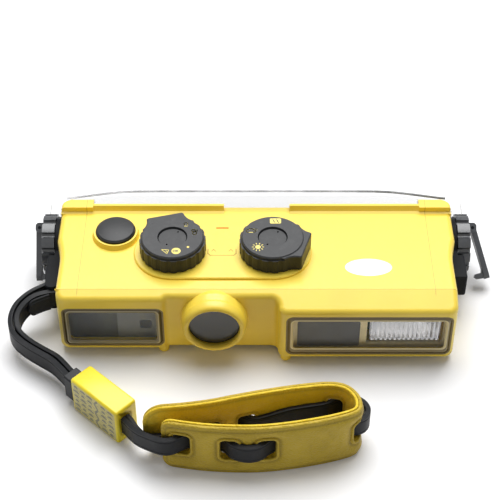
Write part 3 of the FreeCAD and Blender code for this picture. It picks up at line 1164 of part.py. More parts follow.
def strap_lug():
    """Two ears on the left base's block with the upright pin that the strap turns round."""
    ears = []
    z_mid = LUG_LIFT
    clear = BAND_H / 2 + FIT
    for e in (-1, 1):
        z0, z1 = sorted((z_mid + e * clear, z_mid + e * (clear + EAR_T)))
        disc = cylinder(LUG_PIN_R + 1.6, (LUG_X, LUG_Y, z0), (LUG_X, LUG_Y, z1))
        web = prism_z([(-HALF_LENGTH - 0.3, ARM_FRONT_Y + 1.0), (-HALF_LENGTH - 0.3, LUG_Y), (LUG_X, LUG_Y - LUG_PIN_R - 1.6),
                       (LUG_X - LUG_PIN_R - 1.6, LUG_Y), (LUG_X - LUG_PIN_R - 1.6, ARM_FRONT_Y + 1.0)], z0, z1)
        ears.append(disc.fuse(web))
    post = box(LUG_X - LUG_PIN_R - 1.6, -HALF_LENGTH - 0.3, ARM_FRONT_Y, ARM_FRONT_Y + 2.5, z_mid - clear - EAR_T, z_mid + clear + EAR_T)
    pin = cylinder(LUG_PIN_R, (LUG_X, LUG_Y, z_mid - clear - 0.5), (LUG_X, LUG_Y, z_mid + clear + 0.5))
    return fuse(ears + [post, pin])


def wall_strip(points, height, thick):
    """A standing strip of the pad along a plan line."""
    edges = smooth_line([(x + STRAP_MOVE, y, height / 2) for x, y in points])[0]
    rings = []
    for place, way in stations(edges, 3):
        side = V(-way.y, way.x, 0) * (thick / 2)
        up = V(0, 0, height / 2)
        rings.append(closed([place - side - up, place + side - up, place + side + up, place - side + up]))
    return Part.makeLoft(rings, True, True)


def wrist_pad():
    """The padded vinyl strip, folded into a loop, with the slots that the band weaves through."""
    back = wall_strip(PAD_BACK, PAD_H, PAD_T)
    front = wall_strip(PAD_FRONT, PAD_H, PAD_T)
    far = 80.0 + STRAP_MOVE
    back_end = plate_y(PAD_BACK[0][0] - 3 + STRAP_MOVE, far, 0, PAD_H, 9.0, -120, -60)
    front_end = plate_y(PAD_FRONT[0][0] - 3 + STRAP_MOVE, far, 0, PAD_H, 5.0, -120, -60)
    joined = fuse([back.common(back_end), front.common(front_end)])
    slots = []
    for x, y, z, angle in PAD_SLOTS:
        slot = box(-SLOT_W / 2, SLOT_W / 2, -3.4, 3.4, z - SLOT_H / 2, z + SLOT_H / 2)
        slot.rotate(V(0, 0, 0), V(0, 0, 1), angle)
        slot.translate(V(x + STRAP_MOVE, y, 0))
        slots.append(slot)
    way_through = band(STRAP_ROUTE, BAND_T + 2 * FIT, BAND_H + 2 * FIT)
    return cut(joined, slots + [way_through])


def along_tag(length, width, height, start, hollow):
    """A block in line with the tag's axis, from start along it, pierced for the two strands."""
    a = V(TAG_START[0] + STRAP_MOVE, TAG_START[1], 0)
    way = V(TAG_END[0] + STRAP_MOVE, TAG_END[1], 0) - a
    way.normalize()
    angle = math.degrees(math.atan2(way.y, way.x))
    mid = STRAP_ROUTE[11][2]
    z0 = mid - height / 2
    block = box(start, start + length, -width / 2, width / 2, z0, z0 + height)
    block = round_edges(block, 0.8, lambda e: e.BoundBox.XLength > length - 0.1)
    way_w = 2 * STRAND_HALF_GAP + BAND_T + 2 * hollow
    way_h = BAND_H + 2 * hollow
    bore = box(start - 1, start + length + 1, -way_w / 2, way_w / 2, mid - way_h / 2, mid + way_h / 2)
    block = block.cut(bore)
    block.rotate(V(0, 0, 0), V(0, 0, 1), angle)
    block.translate(a)
    return block


def tag_block():
    return along_tag(TAG_LENGTH, TAG_W, TAG_H, 0.0, FIT)


def strap_keeper():
    """The small dark keeper that holds both strands together before the tag."""
    return along_tag(5.4, TAG_W - 1.8, BAND_H + 3.0, -5.8, FIT)


if __name__ == "__main__":
    save("housing_shell", housing_shell())
    save("viewfinder_window", window_plug(FINDER_WIN, FINDER_FACE_Y))
    save("viewfinder_seal", window_seal(FINDER_WIN, FINDER_FACE_Y))
    save("flash_window", window_plug(FLASH_WIN, FLASH_FACE_Y))
    save("flash_seal", window_seal(FLASH_WIN, FLASH_FACE_Y))
    glass, ring = port_pieces()
    save("lens_port_glass", glass)
    save("lens_port_seal", ring)
    mask, objective, eye = finder_pieces()
    save("viewfinder_mask", mask)
    save("viewfinder_objective", objective)
    save("viewfinder_eyepiece", eye)
    for name, x, wing, cam in (("focus", FOCUS_X, FOCUS_WING, -90), ("exposure", EXPOSURE_X, EXPOSURE_WING, 180)):
        save(name + "_dial", dial_body(x, wing))
        save(name + "_dial_cap", dial_cap(x))
        save(name + "_shaft", dial_shaft(x, cam))
    save("shutter_button", shutter_button())
    save("shutter_spring", shutter_spring())
    save("back_cover", back_cover())
    save("back_gasket", back_gasket())
    save("back_hinge_pin", hinge_pin())
    for side, word, opened in ((-1, "left", 0.0), (1, "right", RIGHT_LEVER_OPEN)):
        save("latch_base_" + word, latch_base(side))
        save("latch_knob_" + word, latch_knob(side))
        save("latch_shaft_" + word, latch_shaft(side))
        save("latch_lever_" + word, lever(side, opened))
        save("lever_pin_" + word, lever_pin(side))
    save("inner_chassis", inner_chassis())
    for name, shape in zip(("battery_cell", "battery_spring_contact", "battery_end_contact"), battery_pieces()):
        save(name, shape)
    for name, shape in zip(("lens_barrel", "taking_lens", "lens_bracket", "shutter_box", "aperture_slider"), lens_pieces()):
        save(name, shape)
    names = ("flash_trim", "front_plate", "flash_reflector", "flash_tube", "flash_diffuser", "flash_board", "flash_capacitor")
    for name, shape in zip(names, flash_pieces()):
        save(name, shape)
    save("tripod_socket", tripod_socket())
    save("film_advance_lever", advance_lever())
    save("strap_band", band(STRAP_ROUTE))
    save("strap_keeper", strap_keeper())
    save("tag_block", tag_block())
    save("strap_lug_loop", lug_loop())
    save("strap_tail", band(TAIL_ROUTE, TAIL_T, BAND_H))
    save("wrist_pad", wrist_pad())
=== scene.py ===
"""Finish, strap, lights and camera for a waterproof film camera."""

import bisect
import math

import bmesh
import bpy
from mathutils import Matrix, Vector, noise
from mathutils.geometry import intersect_line_line_2d


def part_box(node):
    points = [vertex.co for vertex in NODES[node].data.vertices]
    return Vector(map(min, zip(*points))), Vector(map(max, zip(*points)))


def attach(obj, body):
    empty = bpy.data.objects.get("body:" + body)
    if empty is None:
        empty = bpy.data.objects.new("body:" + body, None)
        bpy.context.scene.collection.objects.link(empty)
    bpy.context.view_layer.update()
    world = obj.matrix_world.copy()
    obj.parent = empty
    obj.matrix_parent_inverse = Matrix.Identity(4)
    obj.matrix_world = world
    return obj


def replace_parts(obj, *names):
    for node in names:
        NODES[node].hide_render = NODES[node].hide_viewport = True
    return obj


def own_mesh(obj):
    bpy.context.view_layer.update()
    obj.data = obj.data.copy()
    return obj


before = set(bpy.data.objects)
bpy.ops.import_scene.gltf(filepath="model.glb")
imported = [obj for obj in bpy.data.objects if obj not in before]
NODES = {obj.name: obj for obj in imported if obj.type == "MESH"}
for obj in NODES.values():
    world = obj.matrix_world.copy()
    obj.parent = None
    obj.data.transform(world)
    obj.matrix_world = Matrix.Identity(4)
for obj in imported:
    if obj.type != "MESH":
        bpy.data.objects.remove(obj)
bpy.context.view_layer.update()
MM = 0.001


def metres(*places):
    """Places that are given in millimetres."""
    return [tuple(round(v * MM, 7) for v in place) for place in places]


# Heights read from the frame
FOCUS_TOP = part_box("focus_dial")[1][2]
EXPOSURE_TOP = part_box("exposure_dial")[1][2]

# Places and sizes fitted to the photograph, in metres and degrees
HOUSING_TOP = 0.0370
PLATEAU_TOP = 0.0382
LUG_PIN = (-0.0954, -0.0136, 0.0182)
LUG_TURN = (-78.0, 118.0)
LUG_RADIUS = 0.00295
UP = Vector((0, 0, 1))


# Camera
CAMERA_PLACE = (-0.00293, -0.469, 0.466)
CAMERA_DOWN = 42.7
CAMERA_LENS = 97.92


def make_camera():
    data = bpy.data.cameras.new("camera")
    data.lens = CAMERA_LENS
    data.sensor_width = 36.0
    data.clip_start = 0.01
    camera = bpy.data.objects.new("camera", data)
    camera.location = CAMERA_PLACE
    camera.rotation_euler = (math.radians(90 - CAMERA_DOWN), 0, 0)
    bpy.context.collection.objects.link(camera)
    bpy.context.scene.camera = camera


make_camera()


# Mesh helpers


def link_mesh(bm, name, smooth=True):
    """Turns a bmesh into an object at the origin."""
    mesh = bpy.data.meshes.new(name)
    bm.to_mesh(mesh)
    bm.free()
    for polygon in mesh.polygons:
        polygon.use_smooth = smooth
    piece = bpy.data.objects.new(name, mesh)
    bpy.context.collection.objects.link(piece)
    return piece


def dress(piece, material, *replaced, body="housing"):
    """Gives a piece its finish, the body that it rides on and the solids that it replaces."""
    piece.data.materials.clear()
    piece.data.materials.append(material)
    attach(piece, body)
    if replaced:
        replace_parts(piece, *replaced)
    return piece


def sharpen(piece, degrees=35.0):
    """Smooth shading with creases kept at the sharp edges."""
    bm = bmesh.new()
    bm.from_mesh(piece.data)
    limit = math.radians(degrees)
    for edge in bm.edges:
        edge.smooth = len(edge.link_faces) == 2 and edge.calc_face_angle(0.0) < limit
    bm.to_mesh(piece.data)
    bm.free()
    return piece


def ring(bm, points):
    """A closed loop of edges through points."""
    verts = [bm.verts.new(p) for p in points]
    return [bm.edges.new((a, b)) for a, b in zip(verts, verts[1:] + verts[:1])]


def outward(bm):
    """Turns all faces outwards."""
    bmesh.ops.recalc_face_normals(bm, faces=bm.faces)


def verts_of(geom):
    """The vertices among what an operator made."""
    return [g for g in geom if isinstance(g, bmesh.types.BMVert)]


def sweep(name, profile, frames):
    """A piece drawn by a closed profile, in the frames' X and Y, from frame to frame."""
    bm = bmesh.new()
    edges = ring(bm, [frames[0] @ Vector((x, y, 0)) for x, y in profile])
    first = edges
    for here, there in zip(frames, frames[1:]):
        out = bmesh.ops.extrude_edge_only(bm, edges=edges)["geom"]
        verts = verts_of(out)
        moved = set(verts)
        edges = [g for g in out if isinstance(g, bmesh.types.BMEdge) and moved.issuperset(g.verts)]
        bmesh.ops.transform(bm, matrix=there @ here.inverted(), verts=verts)
    bmesh.ops.contextual_create(bm, geom=first)
    bmesh.ops.contextual_create(bm, geom=edges)
    outward(bm)
    return link_mesh(bm, name)


def frame_of(x_way, y_way, z_way, place):
    """A frame at a place, with its three axes."""
    at = Matrix((x_way, y_way, z_way)).transposed().to_4x4()
    at.translation = place
    return at


def upright_frames(points):
    """Frames along a line for something that stands on edge: X across, Y up, Z along."""
    frames = []
    for i, place in enumerate(points):
        a = points[max(i - 1, 0)]
        b = points[min(i + 1, len(points) - 1)]
        way = Vector((b.x - a.x, b.y - a.y, 0)).normalized()
        frames.append(frame_of(Vector((-way.y, way.x, 0)), UP, way, place))
    return frames


def rounded_ring(wide, high, radius, middle=(0.0, 0.0), steps=6):
    """Points round a rounded rectangle, with so many of them at each corner."""
    spots = []
    for corner, (sx, sy) in enumerate(((1, 1), (-1, 1), (-1, -1), (1, -1))):
        for i in range(steps):
            angle = math.radians(90 * corner + 90 * i / (steps - 1))
            spots.append((middle[0] + sx * (wide / 2 - radius) + radius * math.cos(angle),
                          middle[1] + sy * (high / 2 - radius) + radius * math.sin(angle)))
    return spots


def spline_points(route, resolution=8):
    """Points of the NURBS line that has the route's points as its control points."""
    curve = bpy.data.curves.new("line", "CURVE")
    curve.dimensions = "3D"
    spline = curve.splines.new("NURBS")
    spline.points.add(len(route) - 1)
    for point, place in zip(spline.points, route):
        point.co = (*place, 1.0)
    spline.order_u = 3
    spline.use_endpoint_u = True
    curve.resolution_u = resolution
    holder = bpy.data.objects.new("line", curve)
    bpy.context.collection.objects.link(holder)
    view = bpy.context.evaluated_depsgraph_get()
    mesh = bpy.data.meshes.new_from_object(holder.evaluated_get(view))
    points = [v.co.copy() for v in mesh.vertices]
    bpy.data.objects.remove(holder)
    bpy.data.curves.remove(curve)
    bpy.data.meshes.remove(mesh)
    return points


# Material helpers


class Finish:
    """A procedural material with its shader and short calls for its nodes."""

    def __init__(self, name, colour, roughness, specular=0.5, **sockets):
        self.material = bpy.data.materials.new(name)
        self.material.use_nodes = True
        self.tree = self.material.node_tree
        self.shader = self.tree.nodes["Principled BSDF"]
        self.put(self.shader, "Base Color", (*colour, 1.0))
        self.put(self.shader, "Roughness", roughness)
        self.put(self.shader, "Specular IOR Level", specular)
        for key, value in sockets.items():
            self.put(self.shader, key.replace("_", " "), value)
        self.place = self.tree.nodes.new("ShaderNodeTexCoord").outputs["Object"]
        self.height = None

    def put(self, node, socket, value):
        """Sets a socket, or links it when the value is another node's output."""
        if isinstance(value, bpy.types.NodeSocket):
            self.tree.links.new(value, node.inputs[socket])
        else:
            node.inputs[socket].default_value = value

    def add(self, kind):
        return self.tree.nodes.new("ShaderNode" + kind)

    def noise(self, scale, detail=3.0, roughness=0.55):
        made = self.add("TexNoise")
        for socket, value in (("Vector", self.place), ("Scale", scale), ("Detail", detail),
                              ("Roughness", roughness)):
            self.put(made, socket, value)
        return made.outputs[0]

    def math(self, operation, a, b=0.0, clamp=False):
        made = self.add("Math")
        made.operation = operation
        made.use_clamp = clamp
        self.put(made, 0, a)
        self.put(made, 1, b)
        return made.outputs[0]

    def spread(self, value, low, high, to_low=0.0, to_high=1.0):
        """Maps a value from one range to another, smoothly and held at the ends."""
        made = self.add("MapRange")
        made.interpolation_type = "SMOOTHSTEP"
        for socket, number in enumerate((value, low, high, to_low, to_high)):
            self.put(made, socket, number)
        return made.outputs[0]

    def mix(self, share, one, two):
        """One colour at a share of 0, the other at 1."""
        made = self.add("Mix")
        made.data_type = "RGBA"
        self.put(made, 0, share)
        for socket, colour in ((6, one), (7, two)):
            self.put(made, socket, colour if isinstance(colour, bpy.types.NodeSocket) else (*colour, 1.0))
        return made.outputs[2]

    def axes(self):
        split = self.add("SeparateXYZ")
        self.put(split, 0, self.place)
        return split.outputs

    def scaled(self, scale):
        """The place, with each axis scaled."""
        made = self.add("Mapping")
        self.put(made, "Vector", self.place)
        self.put(made, "Scale", scale)
        return made.outputs[0]

    def layer(self, name):
        """A value that the mesh's own points carry."""
        made = self.add("Attribute")
        made.attribute_name = name
        return made.outputs["Fac"]

    def grain(self, scale, strength, distance):
        self.bump(self.noise(scale, 2.0), strength, distance)

    def bump(self, height, strength, distance):
        """Adds a layer of relief over the ones before it."""
        made = self.add("Bump")
        for socket, value in (("Height", height), ("Strength", strength), ("Distance", distance)):
            self.put(made, socket, value)
        if self.height is not None:
            self.put(made, "Normal", self.height)
        self.height = made.outputs[0]
        self.put(self.shader, "Normal", self.height)

    def colour(self, value):
        self.put(self.shader, "Base Color", value)

    def line(self, along, at, half):
        """1 on a thin line where a coordinate passes a value, 0 elsewhere."""
        away = self.math("ABSOLUTE", self.math("SUBTRACT", along, at))
        return self.spread(away, half * 0.5, half, 1.0, 0.0)


YELLOW = (0.95, 0.705, 0.068)

# Thin lines on the housing's top: two seams, a crease and the heights where the top begins
SEAM_X = (-0.0810, 0.0808)
SEAM_HALF = 0.00016
CREASE_Y = -0.0300
CREASE_HALF = 0.00018
TOP_BEGINS = (0.0355, 0.0362)
LINE_TONE = (0.50, 0.33, 0.02)

DIAL_SHADE_DEPTHS = (0.0016, 0.0006)  # depths below the dial's top between which its side turns to the painted shade
FINDER_STEP_X = -0.0640  # left end of the grey plate behind the finder's window
MASK_SOFT = 0.0001  # half the width over which a printed edge fades
WINDOW_CORNERS = (0.0014, 0.0018, 0.0022)  # corner radii of the clear part, the painted highlight line and the rim
WINDOW_SKIN = (0.0013, 0.0015)  # depths behind a window's face between which its border ends

# Pairs of tones of the pad's two sides, and the painted shade in its creases
PAD_OUTER = ((0.50, 0.350, 0.020), (0.60, 0.43, 0.034))
PAD_INNER = ((0.84, 0.585, 0.024), (0.94, 0.69, 0.040))
PAD_CREASE_SHADE = (0.13, 0.085, 0.008)


def shell_yellow():
    """Moulded yellow plastic: fine grain, faint mottling and the thin parting lines on the top."""
    f = Finish("shell_yellow", YELLOW, 0.42, Coat_Weight=0.22, Coat_Roughness=0.25)
    mottle = f.spread(f.noise(45.0, 4.0), 0.35, 0.7)
    base = f.mix(mottle, YELLOW, tuple(0.95 * c for c in YELLOW))
    x, y, z = f.axes()
    lines = f.math("MAXIMUM", f.line(x, SEAM_X[0], SEAM_HALF), f.line(x, SEAM_X[1], SEAM_HALF))
    lines = f.math("MAXIMUM", lines, f.line(y, CREASE_Y, CREASE_HALF))
    lines = f.math("MULTIPLY", lines, f.spread(z, *TOP_BEGINS))
    f.colour(f.mix(lines, base, LINE_TONE))
    f.grain(5200.0, 0.16, 0.00006)
    f.bump(lines, -0.6, 0.00015)
    f.put(f.shader, "Roughness", f.spread(f.noise(900.0, 2.0), 0.3, 0.7, 0.36, 0.48))
    return f.material


def dial_charcoal():
    """Charcoal dial plastic with a fine matt grain and random wear, painted paler on the top, with painted
    shade on the sides.
    """
    f = Finish("dial_charcoal", (0.030, 0.031, 0.033), 0.42, specular=0.35)
    wear = f.spread(f.noise(260.0, 5.0, 0.65), 0.45, 0.75)
    flat = f.mix(wear, (0.024, 0.025, 0.027), (0.040, 0.041, 0.043))
    side = f.mix(wear, (0.010, 0.011, 0.012), (0.018, 0.018, 0.019))
    # The paler top is painted light and the darker sides are painted shade; both carry the random wear.
    f.colour(f.mix(f.spread(f.axes()[2], FOCUS_TOP - DIAL_SHADE_DEPTHS[0], FOCUS_TOP - DIAL_SHADE_DEPTHS[1]), side, flat))
    f.grain(6500.0, 0.25, 0.00005)
    return f.material


def latch_black():
    """Blue-black latch plastic, slightly glossier than the dials."""
    f = Finish("latch_black", (0.022, 0.025, 0.030), 0.32, specular=0.8)
    wear = f.spread(f.noise(300.0, 5.0, 0.65), 0.4, 0.75)
    f.colour(f.mix(wear, (0.017, 0.019, 0.023), (0.032, 0.036, 0.043)))
    f.bump(f.noise(1500.0, 3.0), 0.3, 0.00012)
    return f.material


def strap_rubber():
    """Black rubber with a soft sheen and a fine extruded grain."""
    f = Finish("strap_rubber", (0.022, 0.023, 0.026), 0.42, specular=0.22)
    dust = f.spread(f.noise(170.0, 5.0, 0.7), 0.5, 0.8)
    f.colour(f.mix(dust, (0.012, 0.013, 0.015), (0.026, 0.026, 0.029)))
    f.bump(f.noise(3000.0, 3.0), 0.15, 0.00006)
    return f.material


def pad_vinyl():
    """Olive-yellow grained vinyl: small leather cells, soft creases with painted shade in them, and uneven
    tone.
    """
    f = Finish("pad_vinyl", (0.50, 0.37, 0.045), 0.45, specular=0.32, Sheen_Weight=0.05)
    tone = f.spread(f.noise(38.0, 5.0, 0.6), 0.35, 0.7)
    sides = f.mix(f.layer("inner_side"), f.mix(tone, *PAD_OUTER), f.mix(tone, *PAD_INNER))
    # Painted shade in the pinch and along the feet of the crown, carried by the mesh's crease layer
    f.colour(f.mix(f.layer("crease"), sides, PAD_CREASE_SHADE))
    cells = f.add("TexVoronoi")
    cells.feature = "DISTANCE_TO_EDGE"
    f.put(cells, "Vector", f.scaled((0.55, 0.55, 1.0)))
    f.put(cells, "Scale", 1050.0)
    f.bump(cells.outputs["Distance"], 0.95, 0.00045)
    f.bump(f.noise(170.0, 5.0, 0.65), 0.75, 0.0010)
    return f.material


def tag_yellow():
    """Glossy yellow plastic of the tag."""
    f = Finish("tag_yellow", (0.90, 0.72, 0.02), 0.38, specular=0.45, Coat_Weight=0.2,
               Coat_Roughness=0.2)
    tone = f.spread(f.noise(90.0, 3.0), 0.4, 0.7)
    f.colour(f.mix(tone, (0.92, 0.75, 0.02), (0.86, 0.66, 0.02)))
    f.grain(3800.0, 0.12, 0.00005)
    return f.material


def clear_plastic(name, tint, roughness):
    """Clear glass or plastic that bends the light behind it."""
    f = Finish(name, tint, roughness, Transmission_Weight=1.0, IOR=1.49)
    f.grain(60.0, 0.03, 0.0004)
    return f.material


def see_through(name, colour, face, edge):
    """Thin clear plastic: nearly unseen face on, paler and fuller where it is seen edge on."""
    f = Finish(name, colour, 0.06, specular=0.6)
    facing = f.add("LayerWeight")
    f.put(facing, "Blend", 0.35)
    f.put(f.shader, "Alpha", f.spread(facing.outputs["Facing"], 0.25, 0.95, face, edge))
    f.grain(60.0, 0.03, 0.0004)
    return f.material


def bead_plastic():
    """The clear back's bead: faint on the left, with a darker reflection near its right end."""
    f = Finish("clear_bead_plastic", (0.16, 0.165, 0.17), 0.08, specular=0.6)
    streak = f.spread(f.noise(95.0, 2.0), 0.35, 0.65, 0.7, 1.1)
    fuller = f.spread(f.axes()[0], 0.030, 0.062, 0.42, 0.85)
    f.put(f.shader, "Alpha", f.math("MULTIPLY", fuller, streak, clamp=True))
    return f.material


def outside_mask(f, low, high, margins, corner):
    """1 outside a rounded rectangle that keeps margins (left, right, bottom, top) from a box."""
    x, y, z = f.axes()
    left, right, bottom, top = margins
    squares = []
    for value, a, b in ((x, low[0] + left, high[0] - right), (z, low[2] + bottom, high[2] - top)):
        away = f.math("ABSOLUTE", f.math("SUBTRACT", value, 0.5 * (a + b)))
        span = f.math("MAXIMUM", f.math("SUBTRACT", away, 0.5 * (b - a) - corner), 0.0)
        squares.append(f.math("MULTIPLY", span, span))
    return f.spread(f.math("SQRT", f.math("ADD", *squares)), corner - MASK_SOFT, corner + MASK_SOFT)


def window_plastic(name, node, margins, tones, haze, cover):
    """A clear window whose border is painted with the wall seen through it: a wall tone, a pale painted
    highlight line and a dark rim.
    """
    f = Finish(name, haze, 0.10)
    low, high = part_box(node)
    masks = [outside_mask(f, low, high, edge, corner) for edge, corner in zip(margins, WINDOW_CORNERS)]
    # The border's colours are painted: the wall as seen through the plastic and a highlight on its bevel,
    # then a dark rim
    colour = haze
    for mask, tone in zip(masks, tones):
        colour = f.mix(mask, colour, tone)
    f.colour(colour)
    near_front = f.spread(f.axes()[1], low[1] + WINDOW_SKIN[0], low[1] + WINDOW_SKIN[1], 1.0, 0.0)
    f.put(f.shader, "Alpha", f.spread(f.math("MULTIPLY", masks[0], near_front), 0.0, 1.0, cover, 1.0))
    f.grain(1800.0, 0.04, 0.00005)
    return f.material


def finder_mask():
    """Blue-black inner wall with a grey plate on its right part."""
    f = Finish("finder_mask", (0.028, 0.029, 0.031), 0.4)
    tone = f.spread(f.noise(90.0, 3.0), 0.35, 0.7)
    dark = f.mix(tone, (0.060, 0.066, 0.080), (0.110, 0.120, 0.142))
    grey = f.mix(tone, (0.215, 0.230, 0.270), (0.250, 0.265, 0.305))
    f.colour(f.mix(f.spread(f.axes()[0], FINDER_STEP_X - MASK_SOFT, FINDER_STEP_X + MASK_SOFT), dark, grey))
    f.grain(3500.0, 0.12, 0.00005)
    return f.material


def dark_glass():
    """The dark glass over the taking lens, under a thin gloss."""
    f = Finish("port_glass", (0.034, 0.036, 0.040), 0.25, Coat_Weight=0.45,
               Coat_Roughness=0.10)
    f.grain(2600.0, 0.05, 0.00004)
    return f.material


def plain(name, colour, roughness, **sockets):
    """A plain moulded or metal finish with fine grain and slight tone changes."""
    f = Finish(name, colour, roughness, **sockets)
    tone = f.spread(f.noise(220.0, 3.0), 0.35, 0.7)
    f.colour(f.mix(tone, tuple(0.92 * c for c in colour), tuple(min(1.0, 1.06 * c) for c in colour)))
    f.grain(3500.0, 0.12, 0.00005)
    return f.material


YELLOW_SHELL = shell_yellow()
CHARCOAL = dial_charcoal()
LATCH_BLACK = latch_black()
STRAP_RUBBER = strap_rubber()
PAD_VINYL = pad_vinyl()
TAG_YELLOW = tag_yellow()
CLEAR_BACK = see_through("clear_back_plastic", (0.34, 0.35, 0.36), 0.09, 0.80)
CLEAR_BEAD = bead_plastic()
# Border tones for each window: the wall seen through the plastic, a painted highlight line, a dark rim
FINDER_WINDOW = window_plastic(
    "finder_window_plastic", "viewfinder_window",
    ((0.0026, 0.0026, 0.0036, 0.0014), (0.0015, 0.0017, 0.0016, 0.0011), (0.0010, 0.0011, 0.0008, 0.0007)),
    ((0.25, 0.21, 0.115), (0.52, 0.44, 0.24), (0.13, 0.10, 0.04)), haze=(0.42, 0.47, 0.58), cover=0.10)
FLASH_WINDOW = window_plastic(
    "flash_window_plastic", "flash_window",
    ((0.0026, 0.0026, 0.0042, 0.0016), (0.0017, 0.0017, 0.0037, 0.0013), (0.0013, 0.0014, 0.0031, 0.0010)),
    ((0.64, 0.52, 0.23), (0.74, 0.62, 0.32), (0.26, 0.20, 0.085)), haze=(0.60, 0.60, 0.58), cover=0.05)
FINDER_MASK = finder_mask()
PORT_GLASS = dark_glass()
SEAL_RUBBER = plain("seal_rubber", (0.045, 0.045, 0.035), 0.55)
WINDOW_SEAL = plain("window_seal", (0.24, 0.18, 0.07), 0.5)
OBJECTIVE_DARK = plain("objective_dark", (0.030, 0.032, 0.037), 0.25)
INNER_BLACK = plain("inner_black", (0.030, 0.032, 0.036), 0.45)
BASE_BLACK = plain("base_black", (0.008, 0.009, 0.011), 0.6, specular=0.12)
STEEL = plain("plain_steel", (0.55, 0.55, 0.56), 0.28, Metallic=1.0)
BRASS = plain("turned_brass", (0.66, 0.48, 0.20), 0.28, Metallic=1.0)
GOLD_TRIM = plain("gold_trim", (0.88, 0.75, 0.42), 0.38, Metallic=0.1)
GREY_PLATE = plain("grey_plate", (0.100, 0.104, 0.110), 0.45)
REFLECTOR = plain("reflector_metal", (0.97, 0.97, 0.98), 0.16, Metallic=1.0)
DIFFUSER = clear_plastic("diffuser_plastic", (1.0, 1.0, 1.0), 0.08)
BOARD_GREEN = plain("board_green", (0.03, 0.12, 0.05), 0.4)
CELL_JACKET = plain("cell_jacket", (0.05, 0.05, 0.06), 0.3)
LENS_GLASS = clear_plastic("lens_glass", (0.9, 0.93, 0.97), 0.0)
INK_YELLOW = plain("ink_yellow", (0.90, 0.75, 0.18), 0.5)
INK_DARK = plain("ink_dark", (0.07, 0.07, 0.072), 0.5)
INK_ORANGE = plain("ink_orange", (0.62, 0.20, 0.01), 0.55, specular=0.2)
INK_BLUE = plain("ink_blue", (0.27, 0.26, 0.19), 0.5)
ENGRAVED = plain("engraved_line", (0.42, 0.26, 0.015), 0.5)
STICKER_WHITE = plain("sticker_white", (0.92, 0.92, 0.90), 0.45)
TAG_PANEL = plain("tag_panel", (0.66, 0.58, 0.22), 0.45)

# Solids shown as they are, by finish
FINISHES = (
    (YELLOW_SHELL, "housing_shell"),
    (FINDER_WINDOW, "viewfinder_window"),
    (WINDOW_SEAL, "viewfinder_seal flash_seal"),
    (FLASH_WINDOW, "flash_window"),
    (PORT_GLASS, "lens_port_glass"),
    (SEAL_RUBBER, "lens_port_seal back_gasket"),
    (FINDER_MASK, "viewfinder_mask"),
    (OBJECTIVE_DARK, "viewfinder_objective"),
    (LENS_GLASS, "viewfinder_eyepiece taking_lens flash_tube"),
    (CHARCOAL, "focus_dial focus_dial_cap exposure_dial exposure_dial_cap shutter_button"),
    (INNER_BLACK, "focus_shaft exposure_shaft inner_chassis "
     "lens_barrel lens_bracket shutter_box film_advance_lever"),
    (CLEAR_BACK, "back_cover"),
    (STEEL, "back_hinge_pin battery_spring_contact battery_end_contact "
     "aperture_slider latch_shaft_left latch_shaft_right"),
    (CELL_JACKET, "battery_cell flash_capacitor"),
    (GOLD_TRIM, "flash_trim"),
    (REFLECTOR, "flash_reflector"),
    (DIFFUSER, "flash_diffuser"),
    (BOARD_GREEN, "flash_board"),
    (BRASS, "tripod_socket"),
    (STRAP_RUBBER, "strap_keeper"),
    (LATCH_BLACK, "latch_knob_left latch_knob_right latch_lever_left latch_lever_right"),
    (BASE_BLACK, "latch_base_left latch_base_right lever_pin_left lever_pin_right"),
)
for finish, names in FINISHES:
    for node_name in names.split():
        NODES[node_name].data.materials.clear()
        NODES[node_name].data.materials.append(finish)


# Release spring


def release_spring():
    """The release spring as a piece of its own, with its own copy of the mesh."""
    node = NODES["shutter_spring"]
    bm = bmesh.new()
    bm.from_mesh(node.data)
    bmesh.ops.transform(bm, matrix=node.matrix_world, verts=bm.verts)
    bmesh.ops.remove_doubles(bm, verts=bm.verts, dist=1e-6)
    piece = dress(sharpen(link_mesh(bm, "release_spring")), STEEL, "shutter_spring")
    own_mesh(piece)


release_spring()
